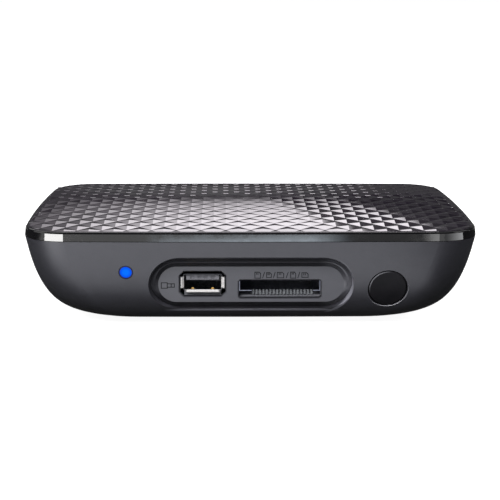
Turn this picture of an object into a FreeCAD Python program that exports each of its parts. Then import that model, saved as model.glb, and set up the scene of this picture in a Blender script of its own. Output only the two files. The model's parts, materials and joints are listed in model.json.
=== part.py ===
import FreeCAD, Part

import math
import os

from FreeCAD import Vector

# A media player box: a bowl-shaped lower shell under a gloss cover whose top carries a plate of
# small square pyramids. +X is right, +Y is back, +Z is up, in millimetres. The origin is under the
# middle of the box, on the surface that it stands on.

# Plan
WIDTH = 156.0
DEPTH = 104.0
SIDE_BOW = 2.0
FRONT_BOW = 1.2
CORNER_R = 15.0

# Heights
FOOT_DROP = 1.6
BOWL_H = 30.6
SEAM = 0.2
BAND_H = 3.0

# Side of the bowl, from the seam down to the floor
WALL = 2.0
SIDE_DRAFT = 0.178
BOWL_INSET = 20.48
DROP_POWER = 2.658
INSET_POWER = 3.503
CORNER_GROWTH = 0.474
FLOOR_TURN_DEG = 88.0
BOWL_SECTIONS = 12

# Top plate and the cover that holds it
CROWN_Y = 1.64
CROWN_X = 0.49
CROWN_EDGE_POWER = 16
DIAMOND = 8.27
DIAMOND_H = 0.42
DIAMOND_X0 = -12.73
DIAMOND_Y0 = -51.64
BAND_LEAN = 0.36
BAND_EDGE_R = 0.7
LIP_W = 1.3
FIT = 0.1
PLATE_SEAT = 2.2
PLATE_HOLLOW = 1.4
PLATE_RIM_W = 6.0
COVER_T = 1.8
SEAM_DEPTH = 0.6
SPIGOT_H = 2.4
SPIGOT_T = 1.3

# Front recess: the flat panel, the sloping ring round it and the lip where it meets the bowl
PANEL_BACK = 7.0
PANEL_HALF_X = 31.45
PANEL_T = 1.6
RING_HALF_X = 34.0
RING_RISE = 6.3
RING_FALL = 6.1
RING_LOW_W = 2.26
RING_TOP_W = 3.65
RING_FOOT_BACK = 2.9
RING_HEAD_OUT = 5.0
RING_T = 5.5
LIP_OUT = 2.5
LIP_GROW_X = 0.7
LIP_GROW_TOP = 1.7
LIP_GROW_LOW = 2.75
FLANGE_W = 2.0
FLANGE_T = 1.4
SKIN_GAP = 0.2
HOLE_BEVEL = 0.4

# USB socket
USB_X = -16.45
USB_RISE = 3.24
USB_BACK = 1.2
USB_INNER = (12.6, 5.12)
USB_SHEET = 0.3
USB_LENGTH = 12.3
USB_FLARE = 0.8
USB_LOW_FLARE = 0.55
USB_TAB = (11.6, 3.9)
USB_HOLE = (15.52, 8.42)
USB_HOLE_DROP = 2.02
USB_HOLE_CUT = 1.5
USB_BASE_BACK = 1.6
USB_END_T = 1.5
USB_TONGUE = (11.1, 1.84)
USB_TONGUE_BACK = 0.9
USB_NOTCH = (1.5, 0.95)
USB_NOTCH_D = 0.7
USB_NOTCH_RISE = 0.35
USB_DIMPLE_X = 3.4
USB_DIMPLE_BACK = 1.4
USB_DIMPLE_R = 0.5
USB_DIMPLE_SUNK = 0.05
USB_PIN_X = (-3.5, -1.0, 1.0, 3.5)
USB_PIN_W = 1.0
USB_PIN_T = 0.2
USB_PIN_BACK = 0.5
USB_PIN_RAMP = 1.0
USB_PIN_END = 0.2

# Card slot
CARD_X = (-4.19, 23.7)
CARD_RISE = 0.61
CARD_H = 6.0
CARD_BACK = 1.7
CARD_DEPTH = 24.0
CARD_WALL = 1.2
CARD_SHEET = 0.3
CARD_COVER_GAP = 0.3
CARD_HOLE_CUT = 0.5
CARD_GUIDE_RISE = 1.9
CARD_GUIDE_W = (4.4, 2.6)
CARD_PINS = 18
CARD_PIN_SIDES = (4.95, 3.0)
CARD_PIN_W = 0.62
CARD_PIN_T = 0.2
CARD_PIN_RISE = 1.75
CARD_PIN_RAMP = 1.8
CARD_COMB_BACK = 1.1
CARD_COMB_D = 8.0
CARD_RIDGE_SIDE = 1.0
CARD_RIDGE_BACK = 4.0
CARD_RIDGE_H = 0.3

# Status light and remote-control window
LED_TO_RING = 8.0
LED_RISE = 10.45
LED_R = 1.95
LED_RING_R = 2.3
LED_RING_GAP = 0.15
LED_FLANGE_R = 3.2
LED_PIPE_BACK = 10.8
LED_BULB_R = 1.5
LED_BULB_L = 4.2
LED_COLLAR_W = 0.4
LED_COLLAR_T = 0.8
LED_LEAD_W = 0.5
LED_LEAD_X = 1.27
LED_LEAD_RUN = 2.0
LED_LEAD_SUNK = 0.2
IR_TO_RING = 12.1
IR_RISE = 4.3
IR_R = 6.4
IR_GAP = 0.35
IR_FLANGE_R = 8.0
IR_RIM_R = 0.5
IR_BODY = (5.0, 3.0)
IR_BODY_EDGE = 1.2
IR_BODY_RISE = 1.0
IR_BODY_OVER = 3.4
IR_LENS_R = 1.8
IR_LENS_SUNK = 0.4
IR_LEG_W = 0.5
IR_LEG_PITCH = 1.6
DISC_FLANGE_T = 1.0

# Feet, bosses and screws
FOOT_X = 42.0
FOOT_Y = 18.0
FOOT_R = 5.0
FOOT_SUNK = 0.6
FOOT_EDGE = 0.5
BOSS_R = 4.5
HEAD_R = 2.6
HEAD_H = 1.9
HEAD_POCKET_R = 3.0
HEAD_SEAT_RISE = 2.8
SCREW_R = 1.4
SCREW_HOLE_R = 1.6
SCREW_L = 14.6
POST_R = 3.6
POST_CORE_L = 10.0
BOARD_SCREW_EDGE = 8.0
BOARD_SCREW_R = 1.0
BOARD_SCREW_L = 5.4
BOARD_HEAD_R = 2.2
BOARD_HEAD_H = 1.4
BOARD_BOSS_R = 2.8
VENTS = 9
VENT_PITCH = 6.0
VENT_W = 1.6
VENT_L = 20.0

# Board and what stands on it
BOARD_RISE = 9.4
BOARD_T = 1.6
BOARD_INSET = 13.0
BOARD_CORNER = 16.0
CHIP_AT = (-8.0, 5.0)
CHIP_W = 27.0
CHIP_H = 2.2
PAD_T = 0.5
SINK_W = 38.0
SINK_BASE = 2.0
SINK_H = 10.0
SINK_FINS = 10
SINK_FIN_T = 1.0
MEMORY_SIZE = (9.0, 13.0, 1.1)
MEMORIES = 2
MEMORY_TO_SCREW = 11.0
MEMORY_PITCH = 12.0
MEMORY_TO_POST = 14.0
FLASH_SIZE = (18.4, 12.0, 1.1)
FLASH_TO_POST = 14.0
FLASH_Y = 2.0
CRYSTAL_SIZE = (11.0, 4.6, 3.4)
CRYSTAL_TO_POST = (12.0, 4.0)
CAP_R = 4.0
CAP_H = 11.0
CAP_FOOT = (8.3, 8.3, 1.2)
CAP_RING_R = 0.7
CAP_RING_OUT = 0.3
CAP_RING_RISE = 3.0
CAP_TO_SCREW = 7.0
CAP_Y = (-2.0, 8.0)
CAP_TO_POST = (16.0, 2.0)
COIL_SIZE = (10.0, 10.0, 4.2)
COIL_CUT = 1.6
COIL_GROOVE_R = (3.2, 3.9)
COIL_GROOVE_D = 0.4
COIL_TO_POST = 10.0
COIL_Y = (-14.0, -27.0)
REGULATOR_SIZE = (5.0, 6.0, 1.6)
REGULATOR_TO_POST = (10.0, 2.0)

# Rear opening
REAR_HALF_X = 53.0
REAR_RISE = 7.0
REAR_FALL = 4.8
REAR_WALL = 1.5
REAR_CORNER = 2.5
REAR_BACK = 8.6
REAR_T = 1.5
REAR_SUNK = 0.25
PORT_FIT = 0.3
PROUD = 0.3

# Picture and sound sockets
HDMI_X = -19.0
HDMI_INNER = (14.0, 4.55)
HDMI_SHEET = 0.5
HDMI_CUT = 1.4
HDMI_LENGTH = 11.5
HDMI_BLOCK_L = 3.0
HDMI_TONGUE = (11.6, 1.2)
HDMI_TONGUE_BACK = 1.0
HDMI_TONGUE_RISE = 3.15
AV_X = 24.0
AV_PITCH = 12.5
AV_RISE = 6.8
AV_NAMES = ("video", "left", "right")
AV_BLOCK = (36.0, 12.6, 13.0)
AV_SLEEVE_R = 4.15
AV_SLEEVE_T = 0.75
AV_COLLAR_R = 5.2
AV_COLLAR_T = 1.9
AV_REACH = 8.4
AV_CORE_BACK = 0.9
AV_HOLE_R = 1.65

# Optical socket with its hinged shutter
OPTIC_X = -4.0
OPTIC_SIZE = (9.6, 13.0, 9.8)
OPTIC_BORE = 6.6
OPTIC_RISE = 1.4
OPTIC_DEPTH = 9.0
FLAP_T = 0.7
FLAP_GAP = 0.2
FLAP_SET_BACK = 0.9
HINGE_R = 0.45
HINGE_FIT = 0.05
HINGE_BITE = 0.8
EMITTER_R = 1.1
EMITTER_L = 1.6
EMITTER_DROP = 0.6

# Network socket
NET_X = -38.0
NET_SIZE = (16.0, 17.0, 13.4)
NET_BORE = (11.8, 12.0, 7.0)
NET_RISE = 3.4
NET_LATCH = (6.2, 1.6)
NET_PINS = 8
NET_PIN_PITCH = 1.02
NET_PIN_R = 0.22
NET_PIN_DROP = 1.2
NET_PIN_BACK = 3.0

# Power inlet
DC_X = 47.5
DC_SIZE = (9.0, 13.0, 11.0)
DC_BORE_R = 3.15
DC_DEPTH = 10.0
DC_PIN_R = 1.0
DC_PIN_L = 9.2
DC_PIN_CUT = 0.3
DC_RISE = 5.8

# Reset button and its switch
RESET_X = -49.4
RESET_RISE = 3.6
RESET_R = 1.25
RESET_FIT = 0.15
RESET_SUNK = 0.4
RESET_FLANGE = (2.0, 1.1)
RESET_TRAVEL = 0.3
SWITCH_SIZE = (6.0, 3.6, 6.4)
SWITCH_GAP = 0.3
PLUNGER_R = 1.0
PLUNGER_L = 1.6

# How far a cut runs past the face that it opens
PAST = 1.0

# Heights and the outline's arcs
HALF_W = WIDTH / 2
HALF_D = DEPTH / 2
SHELL_TOP = FOOT_DROP + BOWL_H
BAND_Z = SHELL_TOP + SEAM
RIM_Z = BAND_Z + BAND_H
PLATE_Z = RIM_Z - PLATE_SEAT
COVER_Z = PLATE_Z - COVER_T
SIDE_R = (HALF_D**2 + SIDE_BOW**2) / (2 * SIDE_BOW)
FRONT_R = (HALF_W**2 + FRONT_BOW**2) / (2 * FRONT_BOW)
BOARD_Z = FOOT_DROP + BOARD_RISE
BOARD_LOW = BOARD_Z - BOARD_T
BOARD_SIDE_Y = HALF_D - BOARD_INSET

# Places of the front pieces
PANEL_Y = PANEL_BACK - HALF_D
RING_Z = (FOOT_DROP + RING_RISE, SHELL_TOP - RING_FALL)
PANEL_Z = (RING_Z[0] + RING_LOW_W, RING_Z[1] - RING_TOP_W)
RING_Y = (PANEL_Y + RING_FOOT_BACK, PANEL_Y - RING_HEAD_OUT)
RING_BACK_Y = PANEL_Y + RING_T
USB_FLOOR_Z = BOARD_Z + USB_RISE
USB_TOP_Z = USB_FLOOR_Z + USB_INNER[1]
USB_MOUTH_Y = PANEL_Y + USB_BACK
USB_END_Y = USB_MOUTH_Y + USB_LENGTH
USB_TONGUE_Z = (USB_TOP_Z - FIT - USB_TONGUE[1], USB_TOP_Z - FIT)
CARD_Z = (BOARD_Z + CARD_RISE, BOARD_Z + CARD_RISE + CARD_H)
CARD_MOUTH_Y = PANEL_Y + CARD_BACK
CARD_END_Y = CARD_MOUTH_Y + CARD_DEPTH
CARD_OUTSIDE = (CARD_X[0] - CARD_WALL, CARD_X[1] + CARD_WALL)
CARD_GUIDE_Z = CARD_Z[0] + CARD_GUIDE_RISE
CARD_PIN_X = (CARD_X[0] + CARD_PIN_SIDES[0], CARD_X[1] - CARD_PIN_SIDES[1])
CARD_PIN_Z = CARD_Z[0] + CARD_PIN_RISE
CARD_RIDGE_Z = CARD_Z[0] + CARD_RIDGE_H
CARD_COMB_Y = CARD_MOUTH_Y + CARD_COMB_BACK
LED_X = -RING_HALF_X - LED_TO_RING
LED_Z = BOARD_Z + LED_RISE
LED_PIPE_BACK_Y = LED_PIPE_BACK - HALF_D
IR_X = RING_HALF_X + IR_TO_RING
IR_Z = BOARD_Z + IR_RISE

# Places of the screws and of what stands on the board
HEAD_SEAT_Z = FOOT_DROP + HEAD_SEAT_RISE
BOARD_SCREW_X = HALF_W - BOARD_INSET - BOARD_SCREW_EDGE
MEMORY_X = MEMORY_TO_SCREW - BOARD_SCREW_X
FLASH_AT = (FOOT_X - FLASH_TO_POST, FLASH_Y)
CRYSTAL_AT = (CRYSTAL_TO_POST[0] - FOOT_X, -FOOT_Y - CRYSTAL_TO_POST[1])
CAP_AT = [(BOARD_SCREW_X - CAP_TO_SCREW, y) for y in CAP_Y]
CAP_AT += [(FOOT_X - CAP_TO_POST[0], FOOT_Y - CAP_TO_POST[1])]
COIL_AT = [(FOOT_X - COIL_TO_POST, y) for y in COIL_Y]
REGULATOR_AT = (FOOT_X + REGULATOR_TO_POST[0], -FOOT_Y - REGULATOR_TO_POST[1])

# Places of the rear pieces
REAR_Z = (FOOT_DROP + REAR_RISE, SHELL_TOP - REAR_FALL)
REAR_FACE_Y = HALF_D - REAR_BACK
REAR_IN_Y = REAR_FACE_Y - REAR_T
REAR_SEAT_Y = REAR_IN_Y - FIT
PORT_FRONT_Y = REAR_FACE_Y + PROUD
HDMI_BACK_Y = PORT_FRONT_Y - HDMI_LENGTH
HDMI_FLOOR_Z = BOARD_Z + PORT_FIT + HDMI_SHEET
AV_Z = BOARD_Z + AV_RISE
AV_COLLAR_Y = REAR_SEAT_Y + AV_COLLAR_T
AV_END_Y = REAR_FACE_Y + AV_REACH
OPTIC_BORE_Z = BOARD_Z + OPTIC_RISE
OPTIC_TOP = OPTIC_BORE_Z + OPTIC_BORE
OPTIC_BACK_Y = PORT_FRONT_Y - OPTIC_DEPTH
HINGE_Y = PORT_FRONT_Y - FLAP_SET_BACK - FLAP_T / 2
HINGE_Z = OPTIC_TOP - FLAP_GAP - HINGE_R - HINGE_FIT
NET_BACK_Y = PORT_FRONT_Y - NET_BORE[1]
NET_Z = (BOARD_Z + NET_RISE, BOARD_Z + NET_RISE + NET_BORE[2])
DC_Z = BOARD_Z + DC_RISE
DC_BACK_Y = PORT_FRONT_Y - DC_DEPTH
RESET_Z = BOARD_Z + RESET_RISE
RESET_BACK_Y = REAR_SEAT_Y - RESET_FLANGE[1]


# Basic shapes
def box(x, y, z):
    """A box from three (low, high) pairs."""
    return Part.makeBox(x[1] - x[0], y[1] - y[0], z[1] - z[0], Vector(x[0], y[0], z[0]))


def standing(size, centre, z):
    """A box of the given size that stands at height z, centred in plan."""
    return Part.makeBox(
        size[0], size[1], size[2], Vector(centre[0] - size[0] / 2, centre[1] - size[1] / 2, z)
    )


def upright(r, x, y, z0, z1):
    return Part.makeCylinder(r, z1 - z0, Vector(x, y, z0))


def along_y(r, x, z, y0, y1):
    return Part.makeCylinder(r, y1 - y0, Vector(x, y0, z), Vector(0, 1, 0))


def join(shapes):
    return shapes[0].fuse(shapes[1:]).removeSplitter()


def prism_y(points, y0, y1):
    """A prism along Y from (x, z) corner points."""
    ring = [Vector(x, y0, z) for x, z in points]
    return Part.Face(Part.makePolygon(ring + ring[:1])).extrude(Vector(0, y1 - y0, 0))


def prism_x(points, x0, x1):
    """A prism along X from (y, z) corner points."""
    ring = [Vector(x0, y, z) for y, z in points]
    return Part.Face(Part.makePolygon(ring + ring[:1])).extrude(Vector(x1 - x0, 0, 0))


def round_box_y(x, z, r, y0, y1):
    """A box along Y whose four long edges are rounded."""
    solid = box(x, (y0, y1), z)
    long_edges = [e for e in solid.Edges if abs(e.BoundBox.YLength - (y1 - y0)) < 1e-6]
    return solid.makeFillet(r, long_edges)


def cut_corner_wire(x, z, cut, y):
    """An upright rectangle at y with its corners cut off at 45 degrees."""
    points = [
        (x[0] + cut, z[0]),
        (x[1] - cut, z[0]),
        (x[1], z[0] + cut),
        (x[1], z[1] - cut),
        (x[1] - cut, z[1]),
        (x[0] + cut, z[1]),
        (x[0], z[1] - cut),
        (x[0], z[0] + cut),
    ]
    ring = [Vector(px, y, pz) for px, pz in points]
    return Part.makePolygon(ring + ring[:1])


def bevelled_hole(x, z, cut, face_y, back_y):
    """A cut-cornered hole that opens out where it meets the face at face_y."""
    wide = HOLE_BEVEL + PAST
    mouth_cut = cut + wide * (2 - math.sqrt(2))
    mouth = cut_corner_wire(grown(x, wide, wide), grown(z, wide, wide), mouth_cut, face_y - PAST)
    throat = cut_corner_wire(x, z, cut, face_y + HOLE_BEVEL)
    run = Part.Face(throat).extrude(Vector(0, back_y - face_y - HOLE_BEVEL, 0))
    return Part.makeLoft([mouth, throat], True, True).fuse(run)


# Outline of the box in plan
def plan_wire(inset, corner, z):
    """Four bowed sides joined by tangent corner arcs, at height z."""
    side_r = SIDE_R - inset
    front_r = FRONT_R - inset
    side_c = HALF_W - inset - side_r
    front_c = HALF_D - inset - front_r
    a = side_r - corner
    b = front_r - corner
    span = math.hypot(side_c, front_c)
    along = (a * a - b * b + span * span) / (2 * span)
    off = math.sqrt(a * a - along * along)
    ux = -side_c / span
    uy = front_c / span
    corner_x = side_c + ux * along - uy * off
    corner_y = uy * along + ux * off
    to_side = Vector(corner_x - side_c, corner_y, 0).normalize()
    to_front = Vector(corner_x, corner_y - front_c, 0).normalize()
    outward = (to_side + to_front).normalize()
    side_end = Vector(side_c, 0, 0) + to_side * side_r
    front_end = Vector(0, front_c, 0) + to_front * front_r
    middle = Vector(corner_x, corner_y, 0) + outward * corner

    def at(point, sx, sy):
        return Vector(point.x * sx, point.y * sy, z)

    side_mid = Vector(HALF_W - inset, 0, 0)
    front_mid = Vector(0, HALF_D - inset, 0)
    arcs = [
        (at(side_end, 1, -1), at(side_mid, 1, 1), at(side_end, 1, 1)),
        (at(side_end, 1, 1), at(middle, 1, 1), at(front_end, 1, 1)),
        (at(front_end, 1, 1), at(front_mid, 1, 1), at(front_end, -1, 1)),
        (at(front_end, -1, 1), at(middle, -1, 1), at(side_end, -1, 1)),
        (at(side_end, -1, 1), at(side_mid, -1, 1), at(side_end, -1, -1)),
        (at(side_end, -1, -1), at(middle, -1, -1), at(front_end, -1, -1)),
        (at(front_end, -1, -1), at(front_mid, 1, -1), at(front_end, 1, -1)),
        (at(front_end, 1, -1), at(middle, 1, -1), at(side_end, 1, -1)),
    ]
    return Part.Wire([Part.Arc(p, q, r).toShape() for p, q, r in arcs])


def plan_prism(inset, z0, z1, corner=None):
    """A straight prism on the plan outline, its corners parallel to the outside unless given."""
    face = Part.Face(plan_wire(inset, corner or CORNER_R - inset, z0))
    return face.extrude(Vector(0, 0, z1 - z0))


# The bowl
def bowl_point(turn):
    """Inset and height on the bowl's side, where turn runs from 0 at the seam to 1 at the floor."""
    angle = math.radians(FLOOR_TURN_DEG) * turn
    full = math.sin(math.radians(FLOOR_TURN_DEG)) ** (2 / DROP_POWER)
    drop = BOWL_H * math.sin(angle) ** (2 / DROP_POWER) / full
    inset = SIDE_DRAFT * drop + BOWL_INSET * (1 - math.cos(angle) ** (2 / INSET_POWER))
    return inset, SHELL_TOP - drop


def bowl(depth):
    """The solid under the bowl's outer surface moved in by depth, square to that surface."""
    step = 1e-3
    wires = []
    for i in range(BOWL_SECTIONS):
        turn = i / (BOWL_SECTIONS - 1)
        inset, z = bowl_point(turn)
        inset_a, z_a = bowl_point(max(0, turn - step))
        inset_b, z_b = bowl_point(min(1, turn + step))
        run = math.hypot(inset_b - inset_a, z_b - z_a)
        moved_inset = inset + depth * (z_a - z_b) / run
        moved_z = z + depth * (inset_b - inset_a) / run
        corner = CORNER_R + CORNER_GROWTH * inset - (moved_inset - inset)
        wires.append(plan_wire(moved_inset, corner, moved_z))
    return Part.makeLoft(wires, True, False)


def obround(half_x, z, y):
    """An upright oval with round ends, leaning from y[0] at its foot to y[1] at its head."""
    r = math.hypot(z[1] - z[0], y[1] - y[0]) / 2
    straight = half_x - r
    mid_y = (y[0] + y[1]) / 2
    mid_z = (z[0] + z[1]) / 2
    head_l = Vector(-straight, y[1], z[1])
    head_r = Vector(straight, y[1], z[1])
    foot_l = Vector(-straight, y[0], z[0])
    foot_r = Vector(straight, y[0], z[0])
    return Part.Wire(
        [
            Part.makeLine(head_l, head_r),
            Part.Arc(head_r, Vector(half_x, mid_y, mid_z), foot_r).toShape(),
            Part.makeLine(foot_r, foot_l),
            Part.Arc(foot_l, Vector(-half_x, mid_y, mid_z), head_l).toShape(),
        ]
    )


def grown(z, low, high):
    return (z[0] - low, z[1] + high)


def recess_ring(gap):
    """Back edge and front edge of the sloping ring, moved out by gap."""
    z = grown(RING_Z, gap, gap)
    back = obround(RING_HALF_X + gap, z, (RING_BACK_Y, RING_BACK_Y))
    return back, obround(RING_HALF_X + gap, z, RING_Y)


def recess_hole():
    """What is cut from the bowl for the front panel: its fit, then a lip that opens outwards."""
    back, edge = recess_ring(FIT)
    z = grown(RING_Z, FIT + LIP_GROW_LOW, FIT + LIP_GROW_TOP)
    y = (RING_Y[0] - LIP_OUT, RING_Y[1] - LIP_OUT)
    mouth = obround(RING_HALF_X + FIT + LIP_GROW_X, z, y)
    return Part.makeLoft([back, edge, mouth], True, True)


def rear_hole(gap):
    """The rear opening's outline as a prism through the back wall, moved out by gap."""
    x = (-REAR_HALF_X - gap, REAR_HALF_X + gap)
    return round_box_y(x, grown(REAR_Z, gap, gap), REAR_CORNER + gap, REAR_IN_Y, HALF_D + PAST)


def flange(prism, skin, under):
    """A strip of prism that lies against the inside of the bowl's wall."""
    return prism.common(skin).cut(under)


# Places that repeat
def foot_places():
    return [(sx * FOOT_X, sy * FOOT_Y) for sy in (-1, 1) for sx in (-1, 1)]


def board_screw_places():
    return [(sx * BOARD_SCREW_X, 0) for sx in (-1, 1)]


def make_lower_shell(outer, inner):
    shell = outer.cut(inner)
    posts = [upright(BOSS_R, x, y, FOOT_DROP + WALL / 2, BOARD_LOW) for x, y in foot_places()]
    posts += [
        upright(BOARD_BOSS_R, x, y, FOOT_DROP + WALL / 2, BOARD_LOW)
        for x, y in board_screw_places()
    ]
    shell = shell.fuse(posts)
    cuts = [recess_hole(), rear_hole(FIT)]
    cuts.append(along_y(LED_RING_R + LED_RING_GAP, LED_X, LED_Z, -HALF_D, -HALF_D / 2))
    cuts.append(along_y(IR_R + IR_GAP, IR_X, IR_Z, -HALF_D, -HALF_D / 2))
    for x, y in foot_places():
        cuts.append(upright(FOOT_R + FIT, x, y, FOOT_DROP - PAST, FOOT_DROP + FOOT_SUNK))
        cuts.append(upright(HEAD_POCKET_R, x, y, FOOT_DROP, HEAD_SEAT_Z))
        cuts.append(upright(SCREW_HOLE_R, x, y, HEAD_SEAT_Z - PAST, BOARD_LOW + PAST))
    for x, y in board_screw_places():
        tip = BOARD_Z - BOARD_SCREW_L
        cuts.append(upright(BOARD_SCREW_R + FIT / 2, x, y, tip - FIT, BOARD_LOW + PAST))
    for i in range(VENTS):
        x = (i - (VENTS - 1) / 2) * VENT_PITCH
        half = VENT_L / 2 - VENT_W / 2
        low = FOOT_DROP - PAST
        high = FOOT_DROP + WALL + PAST
        cuts.append(box((x - VENT_W / 2, x + VENT_W / 2), (-half, half), (low, high)))
        cuts.append(upright(VENT_W / 2, x, -half, low, high))
        cuts.append(upright(VENT_W / 2, x, half, low, high))
    return shell.cut(cuts)


def make_port_panel(skin, under):
    back, edge = recess_ring(0)
    face = obround(PANEL_HALF_X, PANEL_Z, (PANEL_Y, PANEL_Y))
    body = Part.makeLoft([back, edge, face], True, True)
    behind = PANEL_Y + PANEL_T
    pocket_z = (PANEL_Z[0] + PANEL_T / 4, PANEL_Z[1] - PANEL_T / 4)
    hollow = obround(PANEL_HALF_X - PANEL_T, pocket_z, (behind, behind))
    hollow = Part.Face(hollow).extrude(Vector(0, RING_BACK_Y + PAST - behind, 0))
    strip = obround(
        RING_HALF_X + FLANGE_W, grown(RING_Z, FLANGE_W, FLANGE_W), (-HALF_D, -HALF_D)
    )
    strip = Part.Face(strip).extrude(Vector(0, HALF_D + RING_BACK_Y + 2 * FLANGE_W, 0))
    hole = Part.Face(obround(RING_HALF_X - PANEL_T, grown(RING_Z, -PANEL_T, -PANEL_T), (0, 0)))
    strip = flange(strip, skin, under).cut(hole.extrude(Vector(0, -HALF_D, 0)))
    through = (PANEL_Y, RING_BACK_Y + PAST)
    usb_x = (USB_X - USB_HOLE[0] / 2, USB_X + USB_HOLE[0] / 2)
    usb_low = USB_FLOOR_Z - USB_HOLE_DROP
    usb = bevelled_hole(usb_x, (usb_low, usb_low + USB_HOLE[1]), USB_HOLE_CUT, *through)
    card = bevelled_hole(CARD_X, CARD_Z, CARD_HOLE_CUT, *through)
    return join([body, strip]).cut([hollow, usb, card])


def make_rear_panel(recessed, skin, under):
    outer = rear_hole(0).common(recessed)
    half = REAR_HALF_X - REAR_WALL
    inner_z = grown(REAR_Z, -REAR_WALL, -REAR_WALL)
    inner_r = REAR_CORNER - REAR_WALL / 2
    behind = HALF_D + 2 * PAST
    inside = round_box_y((-half, half), inner_z, inner_r, REAR_FACE_Y, behind)
    lip_x = (-REAR_HALF_X - FLANGE_W, REAR_HALF_X + FLANGE_W)
    strip = box(lip_x, (HALF_D / 2, HALF_D), grown(REAR_Z, FLANGE_W, FLANGE_W))
    middle = round_box_y((-half, half), inner_z, inner_r, 0, behind)
    strip = flange(strip, skin, under).cut(middle)
    holes = [rear_port(name, PORT_FIT, 0, HALF_D) for name in REAR_PORTS]
    return join([outer.cut(inside), strip]).cut(holes)


# Outlines of the rear sockets where they pass the panel
def port_box(centre, width, z, gap, y0, y1):
    return box((centre - width / 2 - gap, centre + width / 2 + gap), (y0, y1), grown(z, gap, gap))


def hdmi_body(grow, y0, y1):
    """The picture socket's outline: a box with its two lower corners cut off."""
    half = HDMI_INNER[0] / 2 + grow
    low = HDMI_FLOOR_Z - grow
    high = HDMI_FLOOR_Z + HDMI_INNER[1] + grow
    cut = HDMI_CUT + grow * (1 - math.tan(math.radians(45 / 2)))
    points = [(-half + cut, low), (half - cut, low), (half, low + cut), (half, high)]
    points += [(-half, high), (-half, low + cut)]
    return prism_y([(HDMI_X + x, z) for x, z in points], y0, y1)


def av_places():
    return [AV_X + (i - 1) * AV_PITCH for i in range(len(AV_NAMES))]


def rear_port(name, gap, y0, y1):
    if name == "hdmi":
        return hdmi_body(HDMI_SHEET + gap, y0, y1)
    if name == "optic":
        z = (BOARD_Z, BOARD_Z + OPTIC_SIZE[2])
        return port_box(OPTIC_X, OPTIC_SIZE[0], z, gap, y0, y1)
    if name == "net":
        return port_box(NET_X, NET_SIZE[0], (BOARD_Z, BOARD_Z + NET_SIZE[2]), gap, y0, y1)
    if name == "dc":
        return port_box(DC_X, DC_SIZE[0], (BOARD_Z, BOARD_Z + DC_SIZE[2]), gap, y0, y1)
    if name == "reset":
        return along_y(RESET_R + RESET_FIT, RESET_X, RESET_Z, y0, y1)
    centre = av_places()[AV_NAMES.index(name)]
    return along_y(AV_COLLAR_R + FIT, centre, AV_Z, y0, y1)


REAR_PORTS = ("hdmi", "optic", "net", "dc", "reset") + AV_NAMES


# Cover and top plate
def crown(x, y):
    """Height of the plate's crest line above the rim."""
    u = x / HALF_W
    v = y / HALF_D
    rise = CROWN_Y * (1 - v * v) + CROWN_X * (1 - u * u)
    return max(0, rise * (1 - abs(u) ** CROWN_EDGE_POWER) * (1 - abs(v) ** CROWN_EDGE_POWER))


def make_top_plate():
    """A plate of square pyramids, each one diamond of the pattern, trimmed to the plan outline."""
    half = DIAMOND / 2
    reach_x = HALF_W + half
    reach_y = HALF_D + half
    crests = {}
    edge_uses = {}
    faces = []

    def foot_point(k, n):
        x = DIAMOND_X0 + k * half
        y = DIAMOND_Y0 + n * half
        return Vector(x, y, RIM_Z + crown(x, y) - DIAMOND_H)

    k_range = range(math.ceil((-reach_x - DIAMOND_X0) / half), int((reach_x - DIAMOND_X0) / half) + 1)
    n_range = range(math.ceil((-reach_y - DIAMOND_Y0) / half), int((reach_y - DIAMOND_Y0) / half) + 1)
    for k in k_range:
        for n in n_range:
            if (k + n) % 2:
                x = DIAMOND_X0 + k * half
                y = DIAMOND_Y0 + n * half
                crests[k, n] = Vector(x, y, RIM_Z + crown(x, y))
    for (k, n), crest in crests.items():
        corners = [(k + 1, n), (k, n + 1), (k - 1, n), (k, n - 1)]
        for here, there in zip(corners, corners[1:] + corners[:1]):
            p = foot_point(*here)
            q = foot_point(*there)
            faces.append(Part.Face(Part.makePolygon([p, q, crest, p])))
            key = frozenset((here, there))
            edge_uses[key] = edge_uses.get(key, []) + [(p, q)]
    floor_edges = []
    for uses in edge_uses.values():
        if len(uses) == 1:
            p, q = uses[0]
            p0 = Vector(p.x, p.y, PLATE_Z)
            q0 = Vector(q.x, q.y, PLATE_Z)
            faces.append(Part.Face(Part.makePolygon([p, p0, q0, q, p])))
            floor_edges.append(Part.makeLine(p0, q0))
    faces.append(Part.Face(Part.Wire(Part.__sortEdges__(floor_edges))))
    skin = Part.makeShell(faces)
    skin.sewShape()
    block = Part.makeSolid(skin)
    top = RIM_Z + CROWN_X + CROWN_Y + PAST
    plate = block.common(plan_prism(LIP_W + FIT, PLATE_Z - PAST, top))
    hollow = plan_prism(LIP_W + PLATE_RIM_W, PLATE_Z - PAST, PLATE_Z + PLATE_HOLLOW)
    return plate.cut(hollow)


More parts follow.
